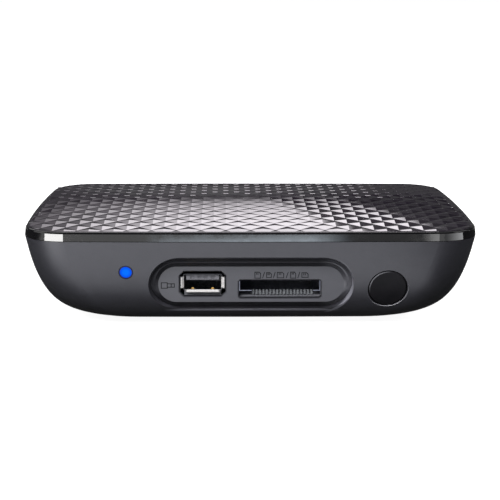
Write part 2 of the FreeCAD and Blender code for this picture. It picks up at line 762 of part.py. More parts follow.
def make_upper_cover():
    foot = plan_wire(0, CORNER_R, BAND_Z)
    rim = plan_wire(BAND_LEAN, CORNER_R - BAND_LEAN, RIM_Z)
    band = Part.makeLoft([foot, rim], True, True)
    rim_edges = [e for e in band.Edges if e.BoundBox.ZMin > RIM_Z - FIT]
    band = band.makeFillet(BAND_EDGE_R, rim_edges)
    band = band.cut(plan_prism(LIP_W, PLATE_Z, RIM_Z + PAST))
    web = plan_prism(SEAM_DEPTH, SHELL_TOP, PLATE_Z)
    side = WALL + SIDE_DRAFT * SPIGOT_H + FIT
    spigot = plan_prism(side, SHELL_TOP - SPIGOT_H, BAND_Z, CORNER_R)
    hollow = plan_prism(side + SPIGOT_T, 0, COVER_Z)
    cover = band.fuse([web, spigot]).cut(hollow)
    core_r = SCREW_R + FIT / 2
    core_top = BOARD_Z + POST_CORE_L
    posts = [upright(POST_R, x, y, BOARD_Z, COVER_Z + COVER_T / 2) for x, y in foot_places()]
    cores = [upright(core_r, x, y, BOARD_Z - PAST, core_top) for x, y in foot_places()]
    return cover.fuse(posts).cut(cores).removeSplitter()


def front_rim(plug):
    """The edges round the faces of a plug that look to the front."""
    edges = []
    for face in plug.Faces:
        u0, u1, v0, v1 = face.ParameterRange
        if face.normalAt((u0 + u1) / 2, (v0 + v1) / 2).y < -math.sqrt(0.5):
            edges += face.Edges
    return [e for e in edges if sum(e.isSame(other) for other in edges) == 1]


def disc_plug(r, x, z, outer, under):
    """A round plug whose front is flush with the bowl's surface."""
    return along_y(r, x, z, -HALF_D, -HALF_D / 2).common(outer).cut(under)


def make_ir_window(outer, skin, under):
    """The window, held by a flange against the inside of the wall."""
    plug = disc_plug(IR_R, IR_X, IR_Z, outer, under)
    rim = disc_plug(IR_FLANGE_R, IR_X, IR_Z, skin, under)
    return join([plug.makeFillet(IR_RIM_R, front_rim(plug)), rim])


def make_led_ring(outer, skin, under):
    """The ring round the status light, with a flange like the window's."""
    plug = disc_plug(LED_RING_R, LED_X, LED_Z, outer, under)
    rim = disc_plug(LED_FLANGE_R, LED_X, LED_Z, skin, under)
    return join([plug, rim]).cut(along_y(LED_R + FIT / 2, LED_X, LED_Z, -HALF_D, 0))


def make_led_lens(recessed):
    return along_y(LED_R, LED_X, LED_Z, -HALF_D, LED_PIPE_BACK_Y).common(recessed)


def make_status_led():
    front = LED_PIPE_BACK_Y + FIT
    back = front + LED_BULB_L
    bulb = along_y(LED_BULB_R, LED_X, LED_Z, front + LED_BULB_R, back)
    tip = Part.makeSphere(LED_BULB_R, Vector(LED_X, front + LED_BULB_R, LED_Z))
    collar = along_y(LED_BULB_R + LED_COLLAR_W, LED_X, LED_Z, back - LED_COLLAR_T, back)
    pieces = [bulb, tip, collar]
    lead = LED_LEAD_W
    end = back + LED_LEAD_RUN
    for side in (-1, 1):
        x = LED_X + side * LED_LEAD_X - lead / 2
        pieces.append(box((x, x + lead), (back - LED_LEAD_SUNK, end), (LED_Z - lead, LED_Z)))
        pieces.append(box((x, x + lead), (end - lead, end), (BOARD_Z, LED_Z)))
    return join(pieces)


# USB socket
def make_usb_shell():
    half = USB_INNER[0] / 2
    inside_x = (USB_X - half, USB_X + half)
    inside_z = (USB_FLOOR_Z, USB_TOP_Z)
    outside_x = grown(inside_x, USB_SHEET, USB_SHEET)
    outside_z = grown(inside_z, USB_SHEET, USB_SHEET)
    mouth = USB_MOUTH_Y
    tube = round_box_y(outside_x, outside_z, 2 * USB_SHEET, mouth, USB_END_Y)
    inside = round_box_y(inside_x, inside_z, USB_SHEET, mouth - PAST, USB_END_Y + PAST)
    tube = tube.cut(inside)
    flare = USB_FLARE
    sheet = USB_SHEET
    side_tab = [(half, mouth), (half + flare, mouth - flare), (half + flare + sheet, mouth - flare)]
    side_tab += [(half + sheet, mouth + sheet), (half, mouth + sheet)]
    mid_z = USB_FLOOR_Z + USB_INNER[1] / 2
    z0 = mid_z - USB_TAB[1] / 2
    tabs = []
    for side in (-1, 1):
        ring = [Vector(USB_X + side * x, y, z0) for x, y in side_tab]
        face = Part.Face(Part.makePolygon(ring + ring[:1]))
        tabs.append(face.extrude(Vector(0, 0, USB_TAB[1])))
    floor = USB_FLOOR_Z
    flare = USB_LOW_FLARE
    low_tab = [(mouth, floor), (mouth - flare, floor - flare), (mouth - flare, floor - flare - sheet)]
    low_tab += [(mouth + sheet, floor - sheet), (mouth + sheet, floor)]
    tabs.append(prism_x(low_tab, USB_X - USB_TAB[0] / 2, USB_X + USB_TAB[0] / 2))
    for side in (-1, 1):
        x = USB_X + side * USB_DIMPLE_X
        centre = Vector(x, mouth + USB_DIMPLE_BACK, floor - USB_DIMPLE_SUNK)
        tabs.append(Part.makeSphere(USB_DIMPLE_R, centre, Vector(0, 0, 1), 0, 90, 360))
    return join([tube] + tabs)


def make_usb_insulator():
    low, high = USB_TONGUE_Z
    half = USB_TONGUE[0] / 2
    wide = (USB_X - USB_INNER[0] / 2, USB_X + USB_INNER[0] / 2)
    front = USB_MOUTH_Y + USB_TONGUE_BACK
    end = USB_END_Y + USB_END_T
    base = box(wide, (USB_MOUTH_Y + USB_BASE_BACK, end), (BOARD_Z, USB_FLOOR_Z - USB_SHEET))
    back = box(wide, (USB_END_Y, end), (BOARD_Z, high))
    tongue = box((USB_X - half, USB_X + half), (front, USB_END_Y), (low, high))
    notch_z = (low + USB_NOTCH_RISE, low + USB_NOTCH_RISE + USB_NOTCH[1])
    notches = []
    for x in USB_PIN_X:
        notch_x = (USB_X + x - USB_NOTCH[0] / 2, USB_X + x + USB_NOTCH[0] / 2)
        notches.append(box(notch_x, (front - PAST, front + USB_NOTCH_D), notch_z))
    return join([base, back, tongue]).cut(notches)


def make_usb_contacts():
    low = USB_TONGUE_Z[0]
    front = USB_MOUTH_Y + USB_TONGUE_BACK + USB_PIN_BACK
    end = USB_END_Y - USB_PIN_END
    pins = []
    for x in USB_PIN_X:
        profile = [(front, low), (front, low - USB_PIN_T / 2), (front + USB_PIN_RAMP, low - USB_PIN_T)]
        profile += [(end, low - USB_PIN_T), (end, low)]
        pins.append(prism_x(profile, USB_X + x - USB_PIN_W / 2, USB_X + x + USB_PIN_W / 2))
    return Part.makeCompound(pins)


# Card slot
def make_card_housing():
    run = (CARD_MOUTH_Y, CARD_END_Y)
    high = (BOARD_Z, CARD_Z[1])
    base = box(CARD_OUTSIDE, run, (BOARD_Z, CARD_Z[0]))
    left = box((CARD_OUTSIDE[0], CARD_X[0]), run, high)
    right = box((CARD_X[1], CARD_OUTSIDE[1]), run, high)
    back = box(CARD_OUTSIDE, (CARD_END_Y - CARD_WALL, CARD_END_Y), high)
    ridge_x = grown(CARD_PIN_X, CARD_RIDGE_SIDE, CARD_RIDGE_SIDE)
    ridge_y = (CARD_COMB_Y + CARD_RIDGE_BACK, CARD_COMB_Y + CARD_COMB_D)
    ridge = box(ridge_x, ridge_y, (BOARD_Z, CARD_RIDGE_Z))
    return join([base, left, right, back, ridge])


def make_card_cover():
    roof_z = (CARD_Z[1], CARD_Z[1] + CARD_SHEET)
    pieces = [box(CARD_OUTSIDE, (CARD_MOUTH_Y, CARD_END_Y), roof_z)]
    run = (CARD_MOUTH_Y + CARD_COVER_GAP, CARD_END_Y - CARD_WALL - CARD_COVER_GAP)
    for side, inner, width in zip((1, -1), CARD_X, CARD_GUIDE_W):
        wall = sorted((inner + side * FIT, inner + side * (FIT + CARD_SHEET)))
        ledge = sorted((inner + side * FIT, inner + side * width))
        pieces.append(box(wall, run, (CARD_GUIDE_Z, roof_z[1])))
        pieces.append(box(ledge, run, (CARD_GUIDE_Z, CARD_GUIDE_Z + CARD_SHEET)))
    return join(pieces)


def make_card_contacts():
    """A comb of sprung contacts, each rising from its tip to a crest and down to the ridge."""
    pitch = (CARD_PIN_X[1] - CARD_PIN_X[0]) / (CARD_PINS - 1)
    back = CARD_COMB_Y + CARD_COMB_D
    front = CARD_COMB_Y
    crest = front + CARD_PIN_RAMP
    root = front + CARD_RIDGE_BACK
    low = CARD_RIDGE_Z
    top = CARD_PIN_Z
    t = CARD_PIN_T
    profile = [(back, low), (root, low), (crest, top - t), (front + t, low)]
    profile += [(front, low + t), (crest, top), (root + t, low + t), (back, low + t)]
    pins = []
    for i in range(CARD_PINS):
        x = CARD_PIN_X[0] + i * pitch
        pins.append(prism_x(profile, x - CARD_PIN_W / 2, x + CARD_PIN_W / 2))
    return Part.makeCompound(pins)


def make_ir_receiver():
    width, depth = IR_BODY
    front = IR_BODY_EDGE - BOARD_SIDE_Y
    low = BOARD_Z + IR_BODY_RISE
    body = box(
        (IR_X - width / 2, IR_X + width / 2), (front, front + depth), (low, IR_Z + IR_BODY_OVER)
    )
    lens = Part.makeSphere(IR_LENS_R, Vector(IR_X, front + IR_LENS_SUNK, IR_Z))
    pieces = [body, lens]
    leg = IR_LEG_W / 2
    leg_y = front + depth / 2
    for i in (-1, 0, 1):
        x = IR_X + i * IR_LEG_PITCH
        pieces.append(box((x - leg, x + leg), (leg_y - leg, leg_y + leg), (BOARD_Z, low + leg)))
    return join(pieces)


# Board
def make_board():
    face = Part.Face(plan_wire(BOARD_INSET, BOARD_CORNER, BOARD_LOW))
    board = face.extrude(Vector(0, 0, BOARD_T))
    top = BOARD_Z + PAST
    holes = [upright(SCREW_HOLE_R, x, y, 0, top) for x, y in foot_places()]
    holes += [upright(BOARD_SCREW_R + FIT, x, y, 0, top) for x, y in board_screw_places()]
    return board.cut(holes)


def make_heat_sink():
    z = BOARD_Z + CHIP_H + PAD_T
    base = standing((SINK_W, SINK_W, SINK_BASE), CHIP_AT, z)
    pitch = (SINK_W - SINK_FIN_T) / (SINK_FINS - 1)
    fins = []
    for i in range(SINK_FINS):
        x = CHIP_AT[0] - SINK_W / 2 + SINK_FIN_T / 2 + i * pitch
        fins.append(standing((SINK_FIN_T, SINK_W, SINK_H), (x, CHIP_AT[1]), z))
    return join([base] + fins)


def make_coil(centre):
    """A shielded coil: a square ferrite body with its round core showing on top."""
    body = standing(COIL_SIZE, centre, BOARD_Z)
    upright_edges = [e for e in body.Edges if abs(e.BoundBox.ZLength - COIL_SIZE[2]) < 1e-6]
    body = body.makeChamfer(COIL_CUT, upright_edges)
    top = BOARD_Z + COIL_SIZE[2]
    inner_r, outer_r = COIL_GROOVE_R
    groove = upright(outer_r, centre[0], centre[1], top - COIL_GROOVE_D, top)
    groove = groove.cut(upright(inner_r, centre[0], centre[1], top - PAST, top + PAST))
    return body.cut(groove)


def make_capacitor(centre):
    """An upright can on its square foot, with the drawn-in ring near the foot."""
    x, y = centre
    foot = standing(CAP_FOOT, centre, BOARD_Z)
    can = upright(CAP_R, x, y, BOARD_Z + CAP_FOOT[2], BOARD_Z + CAP_H)
    ring = Part.makeTorus(
        CAP_R + CAP_RING_OUT, CAP_RING_R, Vector(x, y, BOARD_Z + CAP_RING_RISE)
    )
    return join([foot, can.cut(ring)])


# Rear sockets
def make_hdmi_shell():
    tube = hdmi_body(HDMI_SHEET, HDMI_BACK_Y, PORT_FRONT_Y)
    return tube.cut(hdmi_body(0, HDMI_BACK_Y - PAST, PORT_FRONT_Y + PAST))


def make_hdmi_insulator():
    block_end = HDMI_BACK_Y + HDMI_BLOCK_L
    block = hdmi_body(-FIT / 2, HDMI_BACK_Y, block_end)
    half = HDMI_TONGUE[0] / 2
    low = HDMI_FLOOR_Z + HDMI_TONGUE_RISE - HDMI_TONGUE[1]
    tongue = box(
        (HDMI_X - half, HDMI_X + half),
        (block_end - PAST, PORT_FRONT_Y - HDMI_TONGUE_BACK),
        (low, low + HDMI_TONGUE[1]),
    )
    return join([block, tongue])


def make_av_block():
    return standing(AV_BLOCK, (AV_X, REAR_SEAT_Y - AV_BLOCK[1] / 2), BOARD_Z)


def make_av_core(x):
    collar = along_y(AV_COLLAR_R, x, AV_Z, REAR_SEAT_Y, AV_COLLAR_Y)
    inside = AV_SLEEVE_R - AV_SLEEVE_T - FIT / 2
    core = along_y(inside, x, AV_Z, REAR_SEAT_Y, AV_END_Y - AV_CORE_BACK)
    return join([collar, core]).cut(along_y(AV_HOLE_R, x, AV_Z, AV_COLLAR_Y, AV_END_Y))


def make_av_sleeve(x):
    outside = along_y(AV_SLEEVE_R, x, AV_Z, AV_COLLAR_Y, AV_END_Y)
    inside = AV_SLEEVE_R - AV_SLEEVE_T
    return outside.cut(along_y(inside, x, AV_Z, AV_COLLAR_Y - PAST, AV_END_Y + PAST))


def make_optic_housing():
    width, depth, height = OPTIC_SIZE
    body = standing((width, depth, height), (OPTIC_X, PORT_FRONT_Y - depth / 2), BOARD_Z)
    half = OPTIC_BORE / 2
    run = (OPTIC_BACK_Y, PORT_FRONT_Y + PAST)
    bore = box((OPTIC_X - half, OPTIC_X + half), run, (OPTIC_BORE_Z, OPTIC_TOP))
    reach = half + HINGE_BITE + FIT
    pivot = Part.makeCylinder(
        HINGE_R + HINGE_FIT, 2 * reach, Vector(OPTIC_X - reach, HINGE_Y, HINGE_Z), Vector(1, 0, 0)
    )
    return body.cut([bore, pivot])


def make_optic_shutter():
    """The flap that closes the socket, with its two hinge stubs."""
    half = OPTIC_BORE / 2 - FLAP_GAP
    low = OPTIC_BORE_Z + FLAP_GAP
    flap = box(
        (OPTIC_X - half, OPTIC_X + half), (HINGE_Y - FLAP_T / 2, HINGE_Y + FLAP_T / 2), (low, HINGE_Z)
    )
    reach = OPTIC_BORE / 2 + HINGE_BITE
    barrel = Part.makeCylinder(
        HINGE_R, 2 * reach, Vector(OPTIC_X - reach, HINGE_Y, HINGE_Z), Vector(1, 0, 0)
    )
    return join([flap, barrel])


def make_optic_emitter():
    z = OPTIC_BORE_Z + OPTIC_BORE / 2 - EMITTER_DROP
    return along_y(EMITTER_R, OPTIC_X, z, OPTIC_BACK_Y, OPTIC_BACK_Y + EMITTER_L)


def make_net_housing():
    width, depth, height = NET_SIZE
    body = standing((width, depth, height), (NET_X, PORT_FRONT_Y - depth / 2), BOARD_Z)
    half = NET_BORE[0] / 2
    run = (NET_BACK_Y, PORT_FRONT_Y + PAST)
    bore = box((NET_X - half, NET_X + half), run, NET_Z)
    half = NET_LATCH[0] / 2
    latch = box((NET_X - half, NET_X + half), run, (NET_Z[0] - NET_LATCH[1], NET_Z[0]))
    return body.cut([bore, latch])


def make_net_contacts():
    """Eight sprung wires that slope down from the roof of the socket towards its back."""
    front = PORT_FRONT_Y - NET_PIN_BACK
    start = Vector(0, front, NET_Z[1] - NET_PIN_R - FIT)
    run = Vector(0, NET_BACK_Y + FIT - front, -NET_PIN_DROP)
    pins = []
    for i in range(NET_PINS):
        x = NET_X + (i - (NET_PINS - 1) / 2) * NET_PIN_PITCH
        pins.append(Part.makeCylinder(NET_PIN_R, run.Length, start + Vector(x, 0, 0), run))
    return Part.makeCompound(pins)


def make_dc_housing():
    width, depth, height = DC_SIZE
    body = standing((width, depth, height), (DC_X, PORT_FRONT_Y - depth / 2), BOARD_Z)
    return body.cut(along_y(DC_BORE_R, DC_X, DC_Z, DC_BACK_Y, PORT_FRONT_Y + PAST))


def make_dc_pin():
    pin = along_y(DC_PIN_R, DC_X, DC_Z, DC_BACK_Y, DC_BACK_Y + DC_PIN_L)
    tip = max(e.BoundBox.YMin for e in pin.Edges)
    return pin.makeChamfer(DC_PIN_CUT, [e for e in pin.Edges if e.BoundBox.YMin == tip])


def make_reset_button():
    stem = along_y(RESET_R, RESET_X, RESET_Z, RESET_BACK_Y, REAR_FACE_Y - RESET_SUNK)
    return join([stem, along_y(RESET_FLANGE[0], RESET_X, RESET_Z, RESET_BACK_Y, REAR_SEAT_Y)])


def make_reset_plunger():
    return along_y(PLUNGER_R, RESET_X, RESET_Z, RESET_BACK_Y - PLUNGER_L, RESET_BACK_Y)


def make_reset_switch():
    """The switch body, its plunger hole deep enough for the travel."""
    width, depth, height = SWITCH_SIZE
    room = RESET_TRAVEL + SWITCH_GAP
    front = RESET_BACK_Y - room
    body = standing((width, depth, height), (RESET_X, front - depth / 2), BOARD_Z)
    bottom = RESET_BACK_Y - PLUNGER_L - room
    hole = along_y(PLUNGER_R + FIT, RESET_X, RESET_Z, bottom, front + PAST)
    return body.cut(hole)


# Small parts
def make_foot(place):
    x, y = place
    foot = upright(FOOT_R, x, y, 0, FOOT_DROP + FOOT_SUNK)
    low = [e for e in foot.Edges if e.BoundBox.ZMax < 1e-6]
    return foot.makeFillet(FOOT_EDGE, low)


def make_case_screw(place):
    x, y = place
    head = upright(HEAD_R, x, y, HEAD_SEAT_Z - HEAD_H, HEAD_SEAT_Z)
    low = [e for e in head.Edges if e.BoundBox.ZMax < HEAD_SEAT_Z - HEAD_H + 1e-6]
    head = head.makeFillet(HEAD_H / 3, low)
    return join([head, upright(SCREW_R, x, y, HEAD_SEAT_Z, HEAD_SEAT_Z + SCREW_L)])


def make_board_screw(place):
    x, y = place
    head = upright(BOARD_HEAD_R, x, y, BOARD_Z, BOARD_Z + BOARD_HEAD_H)
    top = [e for e in head.Edges if e.BoundBox.ZMin > BOARD_Z + BOARD_HEAD_H - 1e-6]
    head = head.makeFillet(BOARD_HEAD_H / 3, top)
    return join([head, upright(BOARD_SCREW_R, x, y, BOARD_Z - BOARD_SCREW_L, BOARD_Z)])


def make_all():
    outer = bowl(0)
    inner = bowl(WALL)
    skin = bowl(WALL + SKIN_GAP)
    recessed = bowl(REAR_SUNK)
    disc_under = bowl(WALL + SKIN_GAP + DISC_FLANGE_T)
    under = bowl(WALL + SKIN_GAP + FLANGE_T)
    nodes = {
        "upper_cover": make_upper_cover(),
        "top_plate": make_top_plate(),
        "lower_shell": make_lower_shell(outer, inner),
        "port_panel": make_port_panel(skin, under),
        "rear_panel": make_rear_panel(recessed, skin, under),
        "ir_window": make_ir_window(outer, skin, disc_under),
        "led_ring": make_led_ring(outer, skin, disc_under),
        "led_lens": make_led_lens(recessed),
        "status_led": make_status_led(),
        "ir_receiver": make_ir_receiver(),
        "usb_shell": make_usb_shell(),
        "usb_insulator": make_usb_insulator(),
        "usb_contacts": make_usb_contacts(),
        "card_housing": make_card_housing(),
        "card_cover": make_card_cover(),
        "card_contacts": make_card_contacts(),
        "case_screws": Part.makeCompound([make_case_screw(p) for p in foot_places()]),
        "board_screws": Part.makeCompound([make_board_screw(p) for p in board_screw_places()]),
        "main_board": make_board(),
        "player_chip": standing((CHIP_W, CHIP_W, CHIP_H), CHIP_AT, BOARD_Z),
        "thermal_pad": standing((CHIP_W, CHIP_W, PAD_T), CHIP_AT, BOARD_Z + CHIP_H),
        "heat_sink": make_heat_sink(),
        "flash_chip": standing(FLASH_SIZE, FLASH_AT, BOARD_Z),
        "crystal": standing(CRYSTAL_SIZE, CRYSTAL_AT, BOARD_Z),
        "power_regulator": standing(REGULATOR_SIZE, REGULATOR_AT, BOARD_Z),
        "capacitors": Part.makeCompound([make_capacitor(p) for p in CAP_AT]),
        "power_coils": Part.makeCompound([make_coil(p) for p in COIL_AT]),
        "hdmi_shell": make_hdmi_shell(),
        "hdmi_insulator": make_hdmi_insulator(),
        "av_jack_block": make_av_block(),
        "optical_housing": make_optic_housing(),
        "optical_shutter": make_optic_shutter(),
        "optical_emitter": make_optic_emitter(),
        "network_housing": make_net_housing(),
        "network_contacts": make_net_contacts(),
        "dc_inlet_housing": make_dc_housing(),
        "dc_inlet_pin": make_dc_pin(),
        "reset_button": make_reset_button(),
        "reset_plunger": make_reset_plunger(),
        "reset_switch": make_reset_switch(),
    }
    for i in range(MEMORIES):
        place = (MEMORY_X + i * MEMORY_PITCH, FOOT_Y - MEMORY_TO_POST)
        nodes[f"memory_chip_{i + 1}"] = standing(MEMORY_SIZE, place, BOARD_Z)
    for name, place in zip(("front_left", "front_right", "back_left", "back_right"), foot_places()):
        nodes[f"foot_{name}"] = make_foot(place)
    for name, x in zip(AV_NAMES, av_places()):
        nodes[f"av_core_{name}"] = make_av_core(x)
        nodes[f"av_sleeve_{name}"] = make_av_sleeve(x)
    return nodes


os.makedirs("parts", exist_ok=True)
for node, shape in make_all().items():
    if not shape.isValid():
        print("not valid:", node)
    shape.exportStep(f"parts/{node}.step")
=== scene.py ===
import json
import math
from functools import cached_property

import bmesh
import bpy
from mathutils import Matrix, Vector
from mathutils.geometry import convex_hull_2d


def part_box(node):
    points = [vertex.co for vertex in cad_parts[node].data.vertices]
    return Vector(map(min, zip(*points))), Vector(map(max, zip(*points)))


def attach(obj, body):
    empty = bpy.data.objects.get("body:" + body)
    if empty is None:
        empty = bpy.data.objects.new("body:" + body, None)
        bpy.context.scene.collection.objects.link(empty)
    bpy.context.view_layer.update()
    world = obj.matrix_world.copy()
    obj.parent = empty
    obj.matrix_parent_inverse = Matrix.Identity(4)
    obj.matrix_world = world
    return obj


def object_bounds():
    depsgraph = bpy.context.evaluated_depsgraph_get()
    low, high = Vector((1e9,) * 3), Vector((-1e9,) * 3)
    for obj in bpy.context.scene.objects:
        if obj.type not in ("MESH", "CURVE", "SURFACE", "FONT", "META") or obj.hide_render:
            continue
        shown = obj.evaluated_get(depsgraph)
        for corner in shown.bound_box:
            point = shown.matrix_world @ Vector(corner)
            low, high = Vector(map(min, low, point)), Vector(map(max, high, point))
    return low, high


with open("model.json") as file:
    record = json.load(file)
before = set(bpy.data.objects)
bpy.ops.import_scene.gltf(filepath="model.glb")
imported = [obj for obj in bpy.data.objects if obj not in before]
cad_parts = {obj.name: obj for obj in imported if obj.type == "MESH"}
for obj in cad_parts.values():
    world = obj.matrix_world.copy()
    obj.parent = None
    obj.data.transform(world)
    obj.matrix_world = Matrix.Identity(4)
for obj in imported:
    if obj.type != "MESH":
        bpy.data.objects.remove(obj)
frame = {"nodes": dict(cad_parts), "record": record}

NODES = frame["nodes"]
CAD_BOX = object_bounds()
MM = 0.001

# The camera, solved from the photograph, in the part's frame and in millimetres
PICTURE_SIDE = 500
SENSOR = 36.0
FOCAL_PIXELS = 1266.59
CAMERA_AT = (-8.27, -461.86, 117.45)
CAMERA_PITCH = 0.2110
CAMERA_YAW = 0.0188
CAMERA_ROLL = 0.0027

# Places on the object, in millimetres in the part's frame

# The plug socket's mouth: the middle of its floor at the front edge. From there the boxes round
# its flared tabs, painted white as a painted reflection, and its gilt dimples, each as a middle and
# half sizes
USB_MOUTH = (-16.45, -43.8, 14.24)
USB_TABS = (
    ((-6.85, -0.4, 2.56), (0.5, 0.5, 1.9)),
    ((6.85, -0.4, 2.56), (0.5, 0.5, 1.9)),
    ((0, -0.35, -0.4), (5.7, 0.4, 0.4)),
)
USB_DIMPLES = (
    ((-3.4, 1.4, 0.1), (0.55, 0.55, 0.5)),
    ((3.4, 1.4, 0.1), (0.55, 0.55, 0.5)),
)

# The flat of the port recess: its middle, half its height and half its straight part
PANEL_MIDDLE = (0.0, -45.0, 16.3)
PANEL_HALF_Z = 6.15
PANEL_STRAIGHT = 25.3

# A box round the walls of the openings behind that flat, which get painted shade
SHADED_SOCKET_WALLS = (0.0, -43.0, 16.3)
SHADED_SOCKET_WALLS_HALF = (31.0, 1.7, 5.6)

# The outer edge of the recess's lip, given like the flat, and where the painted highlight line on
# it starts, is full, starts to fade and ends, in half heights from the middle
LIP_MIDDLE = (0.0, -50.0, 16.5)
LIP_HALF_Z = 11.4
LIP_STRAIGHT = 23.3
LIP_HIGHLIGHT_LINE = (0.88, 0.93, 0.97, 1.0)

# Boxes round the low edge of that lip, which gets a painted highlight, and round the slope above
# it, which gets painted shade
LIP_LIT_EDGE = (0.5, -42.5, 6.7)
LIP_LIT_EDGE_HALF = (27.5, 3.0, 0.37)
LIP_SHADED_SLOPE = (0.0, -42.5, 7.62)
LIP_SHADED_SLOPE_HALF = (27.0, 3.0, 0.42)

# The infrared window: its visible radius, the painted highlight arc on it (given like the lip's
# painted highlight line) and its hole
WINDOW_R = 6.65
WINDOW_HIGHLIGHT_ARC = (0.885, 0.905, 0.935, 0.955)
WINDOW_HOLE_R = 6.75

# The pieces that the scene adds, in millimetres

# The plate's bright edge: its height, the shortest step of its path, and its section, outward
# and upward from the path
RIM_Z = 35.4
BEAD_STEP = 0.5
BEAD_PROFILE = (
    (-0.34, -0.5), (-0.34, 0.12), (-0.28, 0.18), (0.04, 0.13), (0.12, 0.05), (0.12, -0.05),
)

# The flats on the plate's pyramids. A top is higher than its neighbours by TOP_DROP. The flats
# start at FLATS_FROM_Y and keep FLAT_MARGIN under the object's highest place. Each has a rear
# edge that is FLAT_RISE over the top, leans down to a narrower front edge and is set in
TOP_DROP = 0.03
FLATS_FROM_Y = 4.0
FLAT_MARGIN = 0.015
FLAT_HALF = (1.1, 0.25)
FLAT_RISE = 0.075
FLAT_SUNK = 0.15
FLAT_LEAN = 0.21
FLAT_TAPER = 0.8

# The film on both: its two colours and the depth of its grain
FILM_COLOURS = ((0.016, 0.013, 0.019), (0.022, 0.018, 0.025))
FILM_GRAIN = 0.003

# The bevel round the window's hole: its steps, its distance from the hole and its section.
# Each step looks for the shell's skin from FRONT_START_Y
EDGE_STEPS = 96
EDGE_OUT = 0.17
EDGE_PROFILE = ((-0.15, -0.2), (0.17, 0.012), (0.17, -0.2))
FRONT_START_Y = -60.0

# Printed strokes: their width and half their thickness
INK_W = 0.28
INK_T = 0.015

# The plug pictogram: its place, its two boxes as (left, right, half height), and its two holes
# as (left, right, height over and under the middle)
PLUG_MARK = (-27.9, 15.9)
PLUG_BOXES = ((-2.5, -0.5, 0.95), (-0.5, 1.9, 0.6))
PLUG_HOLES = (0.75, 1.0, 0.22)

# The card pictograms: their height over the floor, then each one's middle, width and height.
# Each has a cut corner and two stripes, whose places are shares of the width and whose ends
# count down from the top edge. Between two cards stands a slanted stroke, given by half its
# width and height
CARD_MARK_Z = 19.45
CARD_MARKS = ((2.2, 1.9, 2.1), (6.0, 1.6, 1.7), (9.9, 2.2, 1.9), (14.2, 1.7, 2.1), (18.2, 2.1, 1.6))
CARD_CUT = 0.5
CARD_STRIPES = (0.3, 0.55)
STRIPE_FROM_TOP = (0.35, 0.75)
SLASH_HALF = (0.3, 0.95)

# The studio, in metres
WHITE = (1, 1, 1)
AMBIENT = (0.26, 0.26, 0.28, 1)
RIM_HEIGHT = 0.034

# Level cards: the floor, the dark mat just over it, the glowing tables over that and a black
# roof, each as left end, right end, near end, far end and height
FLOOR = (-6.0, 6.0, -6.0, 6.0, -0.0001)
MAT = (-2.0, 2.0, -2.0, 2.0, 0.0004)
TABLE = (-0.4, 0.4, -0.6, -0.05, 0.0007)
REAR_TABLE = (-0.6, 0.6, 0.30, 1.2, 0.0007)
ROOF_FLAG = (-3.0, 3.0, -1.6, 0.9, 3.0)

# The floor's glow to the camera near the object, and how far out it is one again
FLOOR_GLOW = 0.92
FLOOR_FADE = 0.9
FLOOR_GREY = (0.5, 0.5, 0.5, 1)

# Black cards across the view: left end, right end, y, bottom, top at the left end and, where it
# differs, top at the right end
REAR_FLAG_Y = 1.2
REAR_FLAG = (-0.06, 3.0, REAR_FLAG_Y, 0.028, 0.50)
LEFT_FLAG = (-3.0, -0.06, REAR_FLAG_Y, 0.028, 1.1, 0.50)
RIGHT_FLAG = (0.165, 3.0, REAR_FLAG_Y, 0.50, 1.7)
FRONT_FLAG = (-3.0, 3.0, -1.6, 0.165, 3.0)
DIM_FLAG = (0.19, 0.37, -1.55, 0.0, 0.17)

# A glowing ribbon before the gloss band, given in the same way
RIBBON_Y = -0.40
RIBBON = (-0.062, 0.075, RIBBON_Y, 0.02, 0.0438, 0.0485)

# Black cards along the view: x, near end, far end and top. All start at SIDE_FLAG_Z
SIDE_FLAG_Z = 0.001
LEFT_SIDE_FLAG = (-1.25, 0.15, 1.2, 1.6)
RIGHT_SIDE_FLAG = (1.25, -0.45, 0.35, 0.9)

# How strongly cards of one strength glow
FLAG_GLOW = 0.03
DIM_FLAG_GLOW = 0.36
MAT_GLOW = 0.032
REAR_TABLE_GLOW = 1.0
LEFT_GLOW = 14.0
SMALL_GLOW = 3.0

# Ovals of light on the others, in the card's own coordinates: centre, unit, inner and outer
# edge in units, strength outside and strength inside
REAR_PATCH_Z = RIM_HEIGHT + REAR_FLAG_Y * math.tan(math.radians(17.5))
REAR_PATCH = ((-0.04, REAR_FLAG_Y, REAR_PATCH_Z), (0.16, 1, 0.085), 0.2, 1.3, 0.09, 0.24)
TABLE_ACROSS = ((-0.02, 0, 0), (1, 100, 1), 0.080, 0.096, 0.0, 1.3)
TABLE_ALONG = ((0, -0.30, 0), (100, 1, 1), 0.235, 0.25, 0.0, 1.0)
TABLE_CORNER = ((-0.115, -0.105, 0), (0.04, 0.04, 1), 0.3, 1.1, 0.0, 5.0)
TOP_OVAL = ((-0.03, 0.12, 0), (0.2, 0.2, 1), 0.5, 1.1, 0.36, 4.5)
TOP_RIGHT_END = ((0.306, 0.245, 0), (0.464, 0.464, 1), 0.985, 1.008, 0.04, 1.0)
TOP_LOW_END = ((0, 0.142, 0), (100, 1, 1), 0.193, 0.215, 0.10, 1.0)
RIGHT_FADE = ((0.16, 0, 0), (0.32, 1, 1), 0.0, 1.0, 0.6, 3.6)
RIBBON_FADE = ((-0.002, RIBBON_Y, 0.04), (0.085, 1, 1), 0.5, 1.0, 0.0, 5.8)

